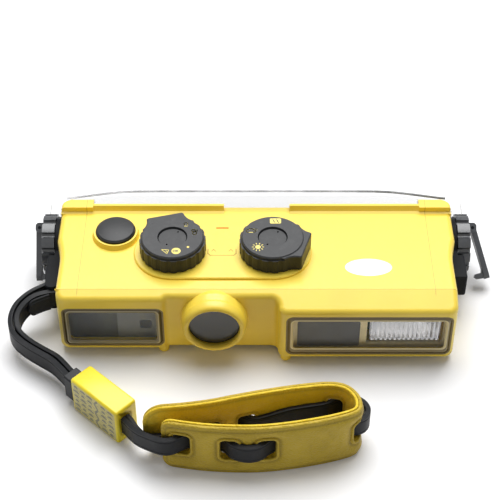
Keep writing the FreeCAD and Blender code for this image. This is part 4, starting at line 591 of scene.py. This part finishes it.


# Strap band: the middle of its route

STRAP_ROUTE = metres(
    (-96.78, -11.0, 18.2), (-102.1, -13.88, 18.0), (-107.4, -17.2, 16.9), (-112.2, -22.4, 15.2),
    (-114.0, -29.6, 13.0), (-111.9, -36.8, 11.2), (-105.9, -42.4, 10.4), (-98.6, -47.6, 10.2),
    (-92.2, -52.0, 10.2), (-87.6, -57.4, 10.3), (-83.6, -62.4, 10.3), (-78.2, -67.6, 10.3),
    (-71.7, -73.8, 10.3), (-64.4, -80.6, 10.3), (-57.0, -87.6, 10.4), (-54.0, -92.6, 12.0),
    (-50.6, -97.0, 13.6), (-45.4, -100.8, 15.0), (-41.0, -103.6, 16.1), (-36.6, -104.4, 16.7),
    (-32.8, -102.0, 16.8), (-28.0, -99.6, 16.6), (-20.0, -99.8, 16.2), (-13.8, -101.0, 15.8),
    (-10.4, -105.6, 15.6), (-4.0, -107.6, 15.6), (1.4, -106.4, 15.6), (5.2, -102.4, 15.6),
    (10.4, -99.4, 15.6), (22.4, -97.1, 15.7), (31.4, -94.6, 15.8), (37.8, -92.2, 15.9),
    (43.0, -92.6, 15.6), (46.8, -90.4, 15.4), (48.2, -86.0, 15.2), (46.6, -81.6, 15.0),
    (42.6, -78.4, 14.8), (38.0, -78.0, 14.8), (34.0, -80.2, 15.0), (29.6, -82.8, 15.2),
    (21.6, -84.2, 15.2), (12.6, -85.6, 14.6), (3.6, -87.6, 12.4), (-0.8, -88.0, 11.4),
    (-5.0, -85.6, 10.8), (-9.4, -83.2, 10.5), (-14.8, -84.8, 10.4), (-19.6, -89.6, 10.4),
    (-24.6, -94.0, 10.6), (-33.0, -96.1, 10.9), (-41.0, -97.0, 11.0), (-47.4, -97.1, 10.9),
    (-51.6, -92.8, 10.7), (-55.2, -85.8, 10.4), (-62.5, -78.8, 10.3), (-69.9, -71.7, 10.3),
    (-76.4, -65.6, 10.3), (-81.8, -60.4, 10.3), (-85.6, -55.4, 10.3), (-90.0, -49.9, 10.2),
    (-96.9, -45.4, 10.2), (-104.0, -40.3, 10.4), (-109.3, -35.3, 11.4), (-110.9, -30.4, 13.0),
    (-110.3, -26.2, 14.6), (-107.4, -21.8, 16.4), (-103.5, -18.9, 17.6), (-98.7, -17.32, 18.15),
    (-94.79, -16.49, 18.2))
TAIL_ROUTE = metres((-96.2, -19.1, 18.1), (-101.4, -20.7, 17.6), (-105.9, -23.3, 16.6))
BAND_HIGH = 0.0100
BAND_THICK = 0.0023
BAND_ROUND = 0.0006
GROOVE_IN = 0.0013  # from the band's edge to the groove beside it
GROOVE_WIDE = 0.0007
GROOVE_DEEP = 0.00032
TURN_STEPS = 28
TAIL_THICK = 0.0015
TAIL_RISE = 0.00035  # height of its border
TIP_FRAMES = 5.0  # frames over which its tip closes
TIP_CLOSED = 0.06


def band_profile(thick, groove):
    """Half rounded edges and two long grooves near the edges of each face."""
    half = thick / 2
    top = BAND_HIGH / 2
    rim = top - GROOVE_IN
    side = [(half, -top + BAND_ROUND), (half, -rim), (half - groove, -rim + GROOVE_WIDE / 2),
            (half, -rim + GROOVE_WIDE), (half, rim - GROOVE_WIDE), (half - groove, rim - GROOVE_WIDE / 2),
            (half, rim), (half, top - BAND_ROUND), (half - BAND_ROUND * 0.3, top - BAND_ROUND * 0.3),
            (half - BAND_ROUND, top)]
    return side + [(-x, -y) for x, y in side]


def strap_band(tag):
    """The long band from the lug through the keeper, the tag and the pad, and back to the lug."""
    points = spline_points(STRAP_ROUTE)
    piece = sweep("strap_band_rubber", band_profile(BAND_THICK, GROOVE_DEEP), upright_frames(points))
    dress(sharpen(piece), STRAP_RUBBER, "strap_band")


def strap_turn():
    """The band's turn round the lug's pin, as the same grooved section carried along an arc."""
    start, end = LUG_TURN
    frames = []
    for i in range(TURN_STEPS + 1):
        angle = math.radians(start + (end - start) * i / TURN_STEPS)
        out = Vector((math.cos(angle), math.sin(angle), 0))
        way = Vector((-math.sin(angle), math.cos(angle), 0))
        frames.append(frame_of(-out, UP, way, Vector(LUG_PIN) + out * LUG_RADIUS))
    piece = sweep("strap_turn_rubber", band_profile(BAND_THICK, GROOVE_DEEP), frames)
    dress(sharpen(piece), STRAP_RUBBER, "strap_lug_loop")


def strap_tail():
    """The short end of the band past the lug: thinner, with a raised border and a rounded tip."""
    frames = upright_frames(spline_points(TAIL_ROUTE, 10))
    for i, frame_at in enumerate(frames):
        left = (len(frames) - 1 - i) / TIP_FRAMES
        if left < 1.0:
            close = math.sqrt(max(TIP_CLOSED, 1.0 - (1.0 - left) ** 2))
            frames[i] = frame_at @ Matrix.Diagonal((1.0, close, 1.0, 1.0))
    piece = sweep("strap_tail_rubber", band_profile(TAIL_THICK, -TAIL_RISE), frames)
    dress(sharpen(piece), STRAP_RUBBER, "strap_tail")


strap_turn()
strap_tail()


# Tag: the strap's middle where the tag begins and ends, and the tag's sizes

TAG_START = (-0.0786, -0.0659)
TAG_END = (-0.0567, -0.0866)
TAG_MIDDLE_Z = 0.0103
TAG_LONG = 0.0296
TAG_HIGH = 0.0200
TAG_DEEP = 0.0120
TAG_FACE_OUT = 0.0048  # from the strap's middle to the tag's outer face
TAG_EASE = ((0.0, 0.0009, 0.0006), (0.00027, 0.00027, 0.0010), (0.0009, 0.0, 0.0012))  # end, inset, radius
TAG_SLOT = (0.0066, 0.0116, 0.0008)
TAG_MOUTH = (0.0074, 0.0124, 0.0010)
MOUTH_DEEP = 0.0005
SLOT_MIDDLE = (-0.0052, 0.0)


def tag_frame():
    """Frame of the tag's outer face: X along the strap, Y up, Z out of the face."""
    start = Vector((*TAG_START, TAG_MIDDLE_Z))
    way = (Vector((*TAG_END, TAG_MIDDLE_Z)) - start).normalized()
    out = way.cross(UP)
    return frame_of(way, UP, out, start + way * TAG_LONG / 2 + out * TAG_FACE_OUT)


def tag_body():
    """The moulded tag: a thick block with eased ends and a slot for both runs of strap."""
    at = tag_frame()
    half = TAG_LONG / 2
    ends = [(deep - half, inset, radius) for deep, inset, radius in TAG_EASE]
    ends += [(half - deep, inset, radius) for deep, inset, radius in reversed(TAG_EASE)]
    middle = (-TAG_DEEP / 2, 0.0)
    sections = [(along, rounded_ring(TAG_DEEP - 2 * inset, TAG_HIGH - 2 * inset, radius, middle))
                for along, inset, radius in ends]
    slot = rounded_ring(*TAG_SLOT, SLOT_MIDDLE)
    mouth = rounded_ring(*TAG_MOUTH, SLOT_MIDDLE)
    sections += [(half, mouth), (half - MOUTH_DEEP, slot), (-half + MOUTH_DEEP, slot), (-half, mouth)]
    bm = bmesh.new()
    loops = [ring(bm, [at @ Vector((along, up, out)) for out, up in spots]) for along, spots in sections]
    for here, there in zip(loops, loops[1:] + loops[:1]):
        bmesh.ops.bridge_loops(bm, edges=here + there)
    outward(bm)
    return dress(sharpen(link_mesh(bm, "tag_moulding"), 50.0), TAG_YELLOW, "tag_block")


strap_band(tag_body())


# Bezel lip, its section as radius and distance forward in millimetres, and the clear back's bead

BEZEL_AXIS = (-0.0192, 0.0220)
BEZEL_LIP = (
    (15.05, 36.4), (14.80, 38.0), (14.50, 39.4), (14.20, 40.3), (13.80, 41.0), (13.35, 41.4),
    (12.75, 41.65), (12.20, 41.55), (11.80, 41.2), (11.60, 40.6), (11.60, 38.45), (12.60, 38.40),
    (13.20, 36.4))
BEAD_HALF = metres((47.0, 35.4), (62.0, 35.1), (72.0, 33.7), (86.6, 30.7), (91.2, 29.9))
BEAD_Z = 0.0394
BACK_BEAD_RADIUS = 0.0006
BACK_BEAD_SIDES = 12


def bezel_lip():
    """The soft raised lip round the lens port, turned about the port's axis."""
    bm = bmesh.new()
    x, z = BEZEL_AXIS
    edges = ring(bm, [(x, -y * MM, z + r * MM) for r, y in BEZEL_LIP])
    geom = edges + list({v for e in edges for v in e.verts})
    bmesh.ops.spin(bm, geom=geom, cent=(x, 0, z), axis=(0, 1, 0), angle=math.tau, steps=96, use_merge=True)
    bmesh.ops.remove_doubles(bm, verts=bm.verts, dist=1e-6)
    outward(bm)
    dress(link_mesh(bm, "bezel_lip"), YELLOW_SHELL)


def back_bead():
    """The rounded bead along the top edge of the clear back."""
    path = [(-x, y, BEAD_Z) for x, y in reversed(BEAD_HALF)] + [(x, y, BEAD_Z) for x, y in BEAD_HALF]
    turns = [math.tau * i / BACK_BEAD_SIDES for i in range(BACK_BEAD_SIDES)]
    profile = [(BACK_BEAD_RADIUS * math.cos(a), BACK_BEAD_RADIUS * math.sin(a)) for a in turns]
    dress(sweep("back_bead", profile, upright_frames(spline_points(path))), CLEAR_BEAD, body="clear_back")


bezel_lip()
back_bead()


# Wrist pad: a flat blank with slots, shaped at its edge, then bent along its line in plan

PAD_LINE = metres(
    (-48.5, -93.2), (-36.0, -92.2), (-21.5, -90.2), (-8.0, -86.6), (6.0, -83.4), (20.0, -80.8),
    (32.0, -79.4), (38.6, -81.2), (42.6, -86.4), (43.4, -91.2), (42.4, -94.4), (37.0, -96.8),
    (28.0, -99.4), (16.0, -102.0), (2.0, -104.0), (-12.0, -104.0), (-28.0, -102.6), (-40.2, -99.9))
PAD_HIGH = 0.0290
PAD_THICK = 0.0030
PAD_CELL = 0.0008
PAD_LAYERS = 15
PAD_FOOT = 0.0002  # how far the pad's edge is lifted off the floor
PAD_REACH = (0.06, -0.07)  # the pad lies within this x and before this y
PAD_ROUND_BACK = 0.0090
PAD_ROUND_FRONT = 0.0050
PAD_CROWN = 0.0012
SLOT_WIDE = 0.0080
SLOT_TALL = 0.0124
SLOT_ROUND = 0.0022
SLOT_REACH = 0.0006  # from a slot's edge to the middle of its lip
LIP_WIDE = 0.00075
LIP_HIGH = 0.00065
LIP_SIDES = 8

# The pad's rim: a puffed shoulder and a welded bead with a pinch between them, darkened with painted shade
EDGE_RADIUS = 0.0009
BEAD_RADIUS = 0.0007
GROOVE_Y = -0.0001
PINCH_HALF = 0.00045
PINCH_SHADE = 0.85
BEAD_OUT = 0.0002
LEAN_REACH = 0.004  # how far in from the rim a face still leans outwards
LEAN_INNER = 0.0001

# The pad's faces: where the crown begins, from the rim and from a slot, and how long it rises
SWELL_RIM = (0.0012, 0.0040)
SWELL_SLOT = (0.0014, 0.0050)
INNER_CROWN = 0.5
SHADE_LINE_IN = 0.0017  # from the rim and from a slot to the painted shade line beside it
# Half widths and strengths (outer face, inner face) of the painted shade lines at the feet of the crown
SHADE_LINE_RIM_HALF = 0.0008
SHADE_LINE_SLOT_HALF = 0.0009
SHADE_LINE_STRENGTHS = (0.50, 0.28)
FOLD_X = 0.004  # middle of the short folds where the inner face bends
FOLD_REACH = 0.018


class PlanLine:
    """A smooth line in plan that is read by the distance along it."""

    def __init__(self, route):
        self.points = spline_points([(x, y, 0.0) for x, y in route], 16)
        self.marks = [0.0]
        for a, b in zip(self.points, self.points[1:]):
            self.marks.append(self.marks[-1] + (b - a).length)
        self.length = self.marks[-1]

    def at(self, along):
        """The point and the direction of travel at a distance, straight on past the ends."""
        i = min(max(bisect.bisect_right(self.marks, along) - 1, 0), len(self.marks) - 2)
        a, b = self.points[i], self.points[i + 1]
        way = (b - a).normalized()
        before = (self.points[i - 2] - a).normalized() if i > 1 else -way
        after = (self.points[i + 3] - b).normalized() if i + 3 < len(self.points) else way
        return a + way * (along - self.marks[i]), (after - before).normalized()

    def crossings(self, other):
        """Distance along this line and height wherever the other line passes it in plan."""
        found = []
        for a, b in zip(other, other[1:]):
            if abs(a.x) > PAD_REACH[0] or a.y > PAD_REACH[1]:
                continue
            for i, (c, d) in enumerate(zip(self.points, self.points[1:])):
                hit = intersect_line_line_2d(a.to_2d(), b.to_2d(), c.to_2d(), d.to_2d())
                if hit is not None:
                    found.append((self.marks[i] + (hit - c.to_2d()).length, 0.5 * (a.z + b.z)))
        return found


def corner_distance(x, z, half_x, half_z, radius):
    """How far a point lies inside a rounded rectangle, and the way inwards."""
    qx = abs(x) - (half_x - radius)
    qz = abs(z) - (half_z - radius)
    outside = Vector((max(qx, 0.0), max(qz, 0.0)))
    depth = radius - outside.length - min(max(qx, qz), 0.0)
    if outside.length < 1e-9:
        outside = Vector((1.0, 0.0)) if qx > qz else Vector((0.0, 1.0))
    inward = -outside.normalized()
    return depth, Vector((inward.x * (1 if x > 0 else -1), inward.y * (1 if z > 0 else -1)))


def rounded_corner(x, z, half_x, half_z, radius):
    """Bends the grid's square corner to a round one."""
    u = (abs(x) - (half_x - radius)) / radius
    v = (abs(z) - (half_z - radius)) / radius
    if u <= 0 or v <= 0:
        return x, z
    reach = max(u, v)
    angle = 0.25 * math.pi * (v / u if u > v else 2 - u / v)
    u, v = reach * math.cos(angle), reach * math.sin(angle)
    return (math.copysign(half_x - radius + u * radius, x), math.copysign(half_z - radius + v * radius, z))


def pad_blank(length, slots):
    """A flat grid with round corners, its thickness in layers at the rim, and the slots cut through."""
    bm = bmesh.new()
    columns, rows = round(length / PAD_CELL), round(PAD_HIGH / PAD_CELL)
    bmesh.ops.create_grid(bm, x_segments=columns, y_segments=rows, size=0.5)
    for v in bm.verts:
        x, z = v.co.x * length, v.co.y * PAD_HIGH
        radius = PAD_ROUND_BACK if x < 0 else PAD_ROUND_FRONT
        x, z = rounded_corner(x, z, length / 2, PAD_HIGH / 2, radius)
        v.co = (x, -PAD_THICK / 2, z)
    grown = bmesh.ops.extrude_face_region(bm, geom=bm.faces[:])["geom"]
    bmesh.ops.translate(bm, verts=verts_of(grown), vec=(0, PAD_THICK, 0))
    across = [e for e in bm.edges if abs(e.verts[0].co.y - e.verts[1].co.y) > PAD_THICK / 2]
    bmesh.ops.subdivide_edges(bm, edges=across, cuts=PAD_LAYERS)
    outward(bm)
    blank = link_mesh(bm, "pad_blank")
    cutter = bmesh.new()
    for along, height in slots:
        edges = ring(cutter, slot_outline(along, height, 0.0, -PAD_THICK))
        face = bmesh.ops.contextual_create(cutter, geom=edges)["faces"]
        tall = bmesh.ops.extrude_face_region(cutter, geom=face)["geom"]
        bmesh.ops.translate(cutter, verts=verts_of(tall), vec=(0, 2 * PAD_THICK, 0))
    outward(cutter)
    knife = link_mesh(cutter, "pad_cutter")
    trim = blank.modifiers.new("slots", "BOOLEAN")
    trim.object = knife
    trim.operation = "DIFFERENCE"
    trim.solver = "EXACT"
    view = bpy.context.evaluated_depsgraph_get()
    mesh = bpy.data.meshes.new_from_object(blank.evaluated_get(view))
    shaped = bmesh.new()
    shaped.from_mesh(mesh)
    for used in (blank, knife):
        bpy.data.objects.remove(used)
    bpy.data.meshes.remove(mesh)
    return shaped


def slot_outline(along, height, grow, y):
    """Points round a slot: a rounded rectangle grown evenly by a margin."""
    spots = rounded_ring(SLOT_WIDE + 2 * grow, SLOT_TALL + 2 * grow, SLOT_ROUND + grow, (along, height))
    return [Vector((x, y, z)) for x, z in spots]


def slot_lip(bm, along, height, face_y):
    """The thin raised lip round a slot, on one face of the pad."""
    points = slot_outline(along, height, SLOT_REACH, face_y)
    centre = Vector((along, face_y, height))
    turns = [math.tau * i / LIP_SIDES for i in range(LIP_SIDES)]
    rings = []
    for place in points + points[:1]:
        out = (place - centre).normalized()
        rings.append(ring(bm, [place + out * (LIP_WIDE * math.cos(a)) + Vector((0, LIP_HIGH * math.sin(a), 0))
                               for a in turns]))
    for a, b in zip(rings, rings[1:]):
        bmesh.ops.bridge_loops(bm, edges=a + b)


def rise(value, begin, reach):
    """0 up to a beginning and 1 once a reach past it."""
    return min(1.0, max(0.0, value - begin) / reach)


def crease_height(x, z, puffed):
    """The vinyl's soft creases, and on the inner face the short folds of the bend."""
    height = 0.00022 * noise.noise(Vector((x * 160.0, 3.0, z * 70.0)))
    height += 0.00012 * noise.noise(Vector((x * 520.0, 9.0, z * 300.0)))
    away = abs(x - FOLD_X)
    if not puffed and away < FOLD_REACH:
        height += 0.0003 * math.cos(x * 1500.0) * (1 - away / FOLD_REACH)
    return height


def shape_rim(y, half_y):
    """A rim point's new place through the thickness, and its pull inwards."""
    if y > GROOVE_Y:
        angle = math.pi * ((y - GROOVE_Y) / (half_y - GROOVE_Y) - 0.5)
        return half_y - EDGE_RADIUS * (1 - math.sin(angle)), EDGE_RADIUS * (1 - math.cos(angle))
    angle = math.pi * (0.5 - (GROOVE_Y - y) / (half_y + GROOVE_Y))
    return BEAD_RADIUS * (1 + math.sin(angle)) - half_y, BEAD_RADIUS * (1 - math.cos(angle)) - BEAD_OUT


def shape_pad(bm, length, slots):
    """Rolls the rim into a puffed shoulder, a pinch and a welded bead, crowns the faces, and marks painted
    shade in the pinch and along the feet of the crown.
    """
    half_x, half_y, half_z = length / 2, PAD_THICK / 2, PAD_HIGH / 2
    hole = (SLOT_WIDE / 2, SLOT_TALL / 2, SLOT_ROUND)
    inner_side = bm.verts.layers.float.new("inner_side")
    crease_shade = bm.verts.layers.float.new("crease")
    for v in bm.verts:
        x, y, z = v.co
        v[inner_side] = 1.0 if y < 0 else 0.0
        radius = PAD_ROUND_BACK if x < 0 else PAD_ROUND_FRONT
        depth, inward = corner_distance(x, z, half_x, half_z, radius)
        if depth < 1e-6:
            # Painted shade in the pinch between the shoulder and the bead
            v[crease_shade] = PINCH_SHADE * max(0.0, 1 - abs(y - GROOVE_Y) / PINCH_HALF)
            y, pull = shape_rim(y, half_y)
        else:
            puffed = y > GROOVE_Y
            pull = (EDGE_RADIUS if puffed else LEAN_INNER) * max(0.0, 1 - depth / LEAN_REACH)
            near = min(-corner_distance(x - a, z - h, *hole)[0] for a, h in slots)
            swell = rise(depth, *SWELL_RIM) * rise(near, *SWELL_SLOT)
            # Painted shade lines where the crown rises, beside the rim and round the slots
            rim_shade_line = 1 - abs(depth - SHADE_LINE_IN) / SHADE_LINE_RIM_HALF
            slot_shade_line = 1.1 - abs(near - SHADE_LINE_IN) / SHADE_LINE_SLOT_HALF
            v[crease_shade] = SHADE_LINE_STRENGTHS[0 if puffed else 1] * min(1.0, max(0.0, rim_shade_line, slot_shade_line))
            crown = PAD_CROWN * swell * (2 - swell)
            y += (crown if puffed else -INNER_CROWN * crown) + swell * crease_height(x, z, puffed)
        v.co = (x + inward.x * pull, y, z + inward.y * pull)


def bend_pad(bm, line):
    """Carries the flat pad to its line in plan, with its foot on the floor."""
    for v in bm.verts:
        place, way = line.at(v.co.x + line.length / 2)
        across = Vector((-way.y, way.x, 0))
        v.co = place + across * v.co.y + Vector((0, 0, v.co.z + PAD_HIGH / 2 + PAD_FOOT))


def wrist_pad():
    """The padded loop, with a slot wherever the strap passes through it."""
    line = PlanLine(PAD_LINE)
    passes = line.crossings(spline_points(STRAP_ROUTE))
    slots = [(along - line.length / 2, height - PAD_HIGH / 2) for along, height in passes]
    bm = pad_blank(line.length, slots)
    shape_pad(bm, line.length, slots)
    for along, height in slots:
        for face_y in (-PAD_THICK / 2, PAD_THICK / 2):
            slot_lip(bm, along, height, face_y)
    bend_pad(bm, line)
    outward(bm)
    piece = sharpen(link_mesh(bm, "wrist_pad_vinyl"), 60.0)
    dress(piece, PAD_VINYL, "wrist_pad")


wrist_pad()


# Printed and moulded marks

INK_THICK = 0.00004
FINE_THICK = 0.00003
PLATE_TOP = 0.0242
PLATE_FOOT = 0.0086
PLATE_ROUND = 0.0009
PLATE_BACK = 0.0002  # how far the plate's back lies behind the solid's face
PLATE_THICK = 0.0003
STICKER = (0.05145, -0.01585, 0.0108)  # its middle and half its length
STICKER_FLAT = 0.53
STICKER_THICK = 0.00008
TAG_ROWS = 6
TAG_COLUMNS = 6
BARE_COLUMN = 3
ROW_TOP = 0.0072
ROW_STEP = 0.0029
RULE_HALF = 0.0125


class Stamp:
    """Flat marks drawn in metres, given a hair's thickness and set down on a surface."""

    def __init__(self):
        self.bm = bmesh.new()

    def disc(self, x, y, radius, steps=28, flat=1.0):
        at = Matrix.Translation((x, y, 0)) @ Matrix.Diagonal((1.0, flat, 1.0, 1.0))
        bmesh.ops.create_circle(self.bm, cap_ends=True, radius=radius, segments=steps, matrix=at)

    def bar(self, start, end, width):
        a, b = Vector((*start, 0)), Vector((*end, 0))
        way = b - a
        at = Matrix.Translation((a + b) / 2) @ Matrix.Rotation(math.atan2(way.y, way.x), 4, "Z")
        at = at @ Matrix.Diagonal((way.length + width, width, 1.0, 1.0))
        bmesh.ops.create_grid(self.bm, x_segments=1, y_segments=1, size=0.5, matrix=at)

    def lines(self, points, width):
        for a, b in zip(points, points[1:]):
            self.bar(a, b, width)

    def hoop(self, x, y, radius, width, start=0.0, turn=360.0, flat=1.0):
        steps = max(6, round(abs(turn) / 15))
        turns = [math.radians(start + turn * i / steps) for i in range(steps + 1)]
        self.lines([(x + radius * math.cos(a), y + flat * radius * math.sin(a)) for a in turns], width)

    def plate(self, wide, high, radius, middle=(0.0, 0.0)):
        """A rounded rectangle."""
        spots = rounded_ring(wide, high, radius, middle, steps=5)
        bmesh.ops.contextual_create(self.bm, geom=ring(self.bm, [(x, y, 0) for x, y in spots]))

    def set_down(self, name, at, material, thick=INK_THICK, body="housing"):
        """Thickens the marks and sets them down at a height or in a face's frame."""
        if not isinstance(at, Matrix):
            at = Matrix.Translation((0, 0, at))
        outward(self.bm)
        grown = bmesh.ops.extrude_face_region(self.bm, geom=self.bm.faces[:])["geom"]
        bmesh.ops.translate(self.bm, verts=verts_of(grown), vec=(0, 0, thick))
        bmesh.ops.transform(self.bm, matrix=at, verts=self.bm.verts)
        outward(self.bm)
        return dress(link_mesh(self.bm, name, smooth=False), material, body=body)


def focus_marks():
    """Distance marks on the first dial: one head, a group, a dot and a fish on a disc."""
    ink = Stamp()
    ink.hoop(-0.03262, 0.00285, 0.0009, 0.00032, -40, 290)
    ink.bar((-0.0332, 0.0013), (-0.0320, 0.0013), 0.0003)
    ink.hoop(-0.02905, -0.00165, 0.0007, 0.00042, flat=1.15)
    ink.hoop(-0.02845, -0.0035, 0.00085, 0.00042, flat=1.2)
    ink.hoop(-0.0278, -0.0018, 0.00055, 0.0004)
    ink.disc(-0.03116, -0.01292, 0.0006)
    ink.disc(-0.03652, -0.01560, 0.0021)
    ink.lines(((-0.0432, -0.0146), (-0.0398, -0.0149), (-0.0406, -0.0174), (-0.0432, -0.0146)), 0.0003)
    ink.bar((-0.0412, -0.0156), (-0.0403, -0.0162), 0.0003)
    ink.set_down("focus_marks", FOCUS_TOP, INK_YELLOW, body="focus_control")
    fish = Stamp()
    fish.disc(-0.03632, -0.01560, 0.00095, flat=0.45)
    fish.lines(((-0.0372, -0.0156), (-0.0379, -0.0151), (-0.0379, -0.0161), (-0.0372, -0.0156)), 0.0002)
    fish.set_down("focus_fish", FOCUS_TOP + INK_THICK, INK_DARK, body="focus_control")


def exposure_marks():
    """Light marks on the second dial: flash, cloud and sun."""
    ink = Stamp()
    flash_x, flash_y = 0.00893, 0.00495
    ink.plate(0.0052, 0.0036, 0.0007, (flash_x, flash_y))
    cloud_x, cloud_y = -0.00247, -0.00200
    ink.hoop(cloud_x - 0.0012, cloud_y, 0.0010, 0.0004, 60, 210)
    ink.hoop(cloud_x, cloud_y + 0.0006, 0.0011, 0.0004, 20, 130)
    ink.hoop(cloud_x + 0.0012, cloud_y, 0.0009, 0.0004, -90, 190)
    ink.bar((cloud_x - 0.0013, cloud_y - 0.0010), (cloud_x + 0.0012, cloud_y - 0.0009), 0.0004)
    ink.hoop(cloud_x + 0.0020, cloud_y + 0.0008, 0.0008, 0.00022, -20, 150)
    sun_x, sun_y = 0.00071, -0.01292
    ink.disc(sun_x, sun_y, 0.00125)
    for i in range(10):
        a = math.radians(36 * i)
        near, far = ((sun_x + reach * math.cos(a), sun_y + reach * math.sin(a)) for reach in (0.0020, 0.0026))
        ink.bar(near, far, 0.0004)
    ink.set_down("exposure_marks", EXPOSURE_TOP, INK_YELLOW, body="exposure_control")
    bolt = Stamp()
    for shift in (-0.0008, 0.0009):
        x = flash_x + shift
        zigzag = ((x - 0.0005, 0.0062), (x + 0.0002, 0.0048), (x - 0.0002, 0.0050), (x + 0.0006, 0.0037))
        bolt.lines(zigzag, 0.0003)
    bolt.set_down("exposure_bolts", EXPOSURE_TOP + INK_THICK, INK_DARK, body="exposure_control")


def plateau_marks():
    """The orange index dash and the moulded bracket between the dials."""
    dash = Stamp()
    dash.bar((-0.01845, 0.0099), (-0.01345, 0.0099), 0.0009)
    dash.set_down("index_dash", PLATEAU_TOP, INK_ORANGE)
    line = Stamp()
    line.lines(((-0.0224, -0.0049), (-0.0224, -0.0078), (-0.0214, -0.0090), (-0.0104, -0.0090),
                (-0.0094, -0.0078), (-0.0094, -0.0049)), 0.00035)
    for x in (-0.0198, -0.0118):
        line.lines(((x - 0.0009, -0.0062), (x, -0.0050), (x + 0.0009, -0.0062)), 0.0003)
    line.set_down("moulded_bracket", PLATEAU_TOP, ENGRAVED, FINE_THICK)


def name_plate():
    """The grey plate beside the flash, left bare."""
    low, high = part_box("front_plate")
    plate = Stamp()
    plate.plate(high[0] - low[0], PLATE_TOP - PLATE_FOOT, PLATE_ROUND)
    middle = (0.5 * (low[0] + high[0]), low[1] + PLATE_BACK, 0.5 * (PLATE_TOP + PLATE_FOOT))
    at = frame_of((1, 0, 0), UP, (0, -1, 0), middle)
    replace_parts(plate.set_down("bare_plate", at, GREY_PLATE, PLATE_THICK), "front_plate")


def blank_sticker():
    """The oval sticker on the top, left bare."""
    oval = Stamp()
    oval.disc(*STICKER, steps=64, flat=STICKER_FLAT)
    oval.set_down("blank_sticker", HOUSING_TOP, STICKER_WHITE, STICKER_THICK)


def tag_print():
    """A pale printed panel on the tag's outer face: ruled rows with short dashes, no words."""
    at = tag_frame()
    panel = Stamp()
    panel.plate(TAG_LONG - 0.0022, TAG_HIGH - 0.0026, 0.0008)
    panel.set_down("tag_panel", at, TAG_PANEL, FINE_THICK)
    raised = at @ Matrix.Translation((0, 0, FINE_THICK))
    rows = Stamp()
    marks = Stamp()
    for row in range(TAG_ROWS):
        y = ROW_TOP - ROW_STEP * row
        rows.bar((-RULE_HALF, y - 0.0014), (RULE_HALF, y - 0.0014), 0.00012)
        for column in range(TAG_COLUMNS):
            if column == BARE_COLUMN:
                continue
            x = -0.0112 + 0.0044 * column
            wide = 0.0007 + 0.0004 * ((row * 2 + column) % 3)
            marks.bar((x - wide, y), (x + wide, y), 0.00085)
            marks.bar((x - wide * 0.5, y + 0.0007), (x + wide * 0.7, y + 0.0007), 0.0004)
        lean = 0.0007 * (1 if row % 2 else -1)
        marks.bar((0.0018 - lean, y + 0.0009), (0.0018 + lean, y - 0.0009), 0.0010)
    rows.set_down("tag_rules", raised, INK_BLUE, 0.00002)
    marks.set_down("tag_dashes", raised, INK_BLUE, FINE_THICK)


focus_marks()
exposure_marks()
plateau_marks()
name_plate()
blank_sticker()
tag_print()


# Lights, floor and background

SOFTBOX_PLACE = (0.04, 0.42, 1.06)
SOFTBOX_SIZE = (1.05, 0.95)
SOFTBOX_POWER = 20.0
SURROUNDINGS = 0.16
BACKGROUND = 1.0
FLOOR_HALF = 6.0
FLOOR_SHAPE = (1.0, 1.15, 1.0)
FLOOR_SHADE = (0.06, 0.30)  # distances between which the floor's own light grows
FLOOR_LIGHT = (0.02, 0.60)


def studio():
    """One softbox, dim surroundings, and plain white where a view passes the object."""
    data = bpy.data.lights.new("main_softbox", "AREA")
    data.shape = "RECTANGLE"
    data.size, data.size_y = SOFTBOX_SIZE
    data.energy = SOFTBOX_POWER
    lamp = bpy.data.objects.new("main_softbox", data)
    lamp.location = SOFTBOX_PLACE
    lamp.rotation_euler = (-Vector(SOFTBOX_PLACE)).to_track_quat("-Z", "Y").to_euler()
    bpy.context.collection.objects.link(lamp)
    world = bpy.context.scene.world or bpy.data.worlds.new("world")
    bpy.context.scene.world = world
    world.use_nodes = True
    tree = world.node_tree
    tree.nodes.clear()
    rays = tree.nodes.new("ShaderNodeLightPath").outputs
    mix = tree.nodes.new("ShaderNodeMixShader")
    for socket, strength in ((1, SURROUNDINGS), (2, BACKGROUND)):
        white = tree.nodes.new("ShaderNodeBackground")
        white.inputs[0].default_value = (1, 1, 1, 1)
        white.inputs[1].default_value = strength
        tree.links.new(white.outputs[0], mix.inputs[socket])
    seen = rays["Is Camera Ray"]
    for kind in ("Is Transmission Ray", "Is Glossy Ray"):
        either = tree.nodes.new("ShaderNodeMath")
        either.operation = "MAXIMUM"
        tree.links.new(seen, either.inputs[0])
        tree.links.new(rays[kind], either.inputs[1])
        seen = either.outputs[0]
    tree.links.new(seen, mix.inputs[0])
    tree.links.new(mix.outputs[0], tree.nodes.new("ShaderNodeOutputWorld").inputs[0])


def floor():
    """White table top that keeps the shadows and reads white elsewhere; its glow for the camera stays faint
    near the object, which paints shade round it.
    """
    bm = bmesh.new()
    bmesh.ops.create_grid(bm, x_segments=1, y_segments=1, size=FLOOR_HALF)
    table = link_mesh(bm, "floor", smooth=False)
    f = Finish("table_white", (0.86, 0.86, 0.87), 0.6, specular=0.2, Emission_Color=(1, 1, 1, 1))
    rays = f.add("LightPath").outputs
    seen = f.math("MAXIMUM", rays["Is Camera Ray"], rays["Is Transmission Ray"])
    reach = f.add("VectorMath")
    reach.operation = "LENGTH"
    f.put(reach, 0, f.scaled(FLOOR_SHAPE))
    # Faint glow near the object paints shade round it; the full glow further out reads white
    lift = f.spread(reach.outputs["Value"], *FLOOR_SHADE, *FLOOR_LIGHT)
    f.put(f.shader, "Emission Strength", f.math("MULTIPLY", seen, lift))
    table.data.materials.append(f.material)


studio()
floor()
bpy.context.scene.view_settings.view_transform = "Standard"
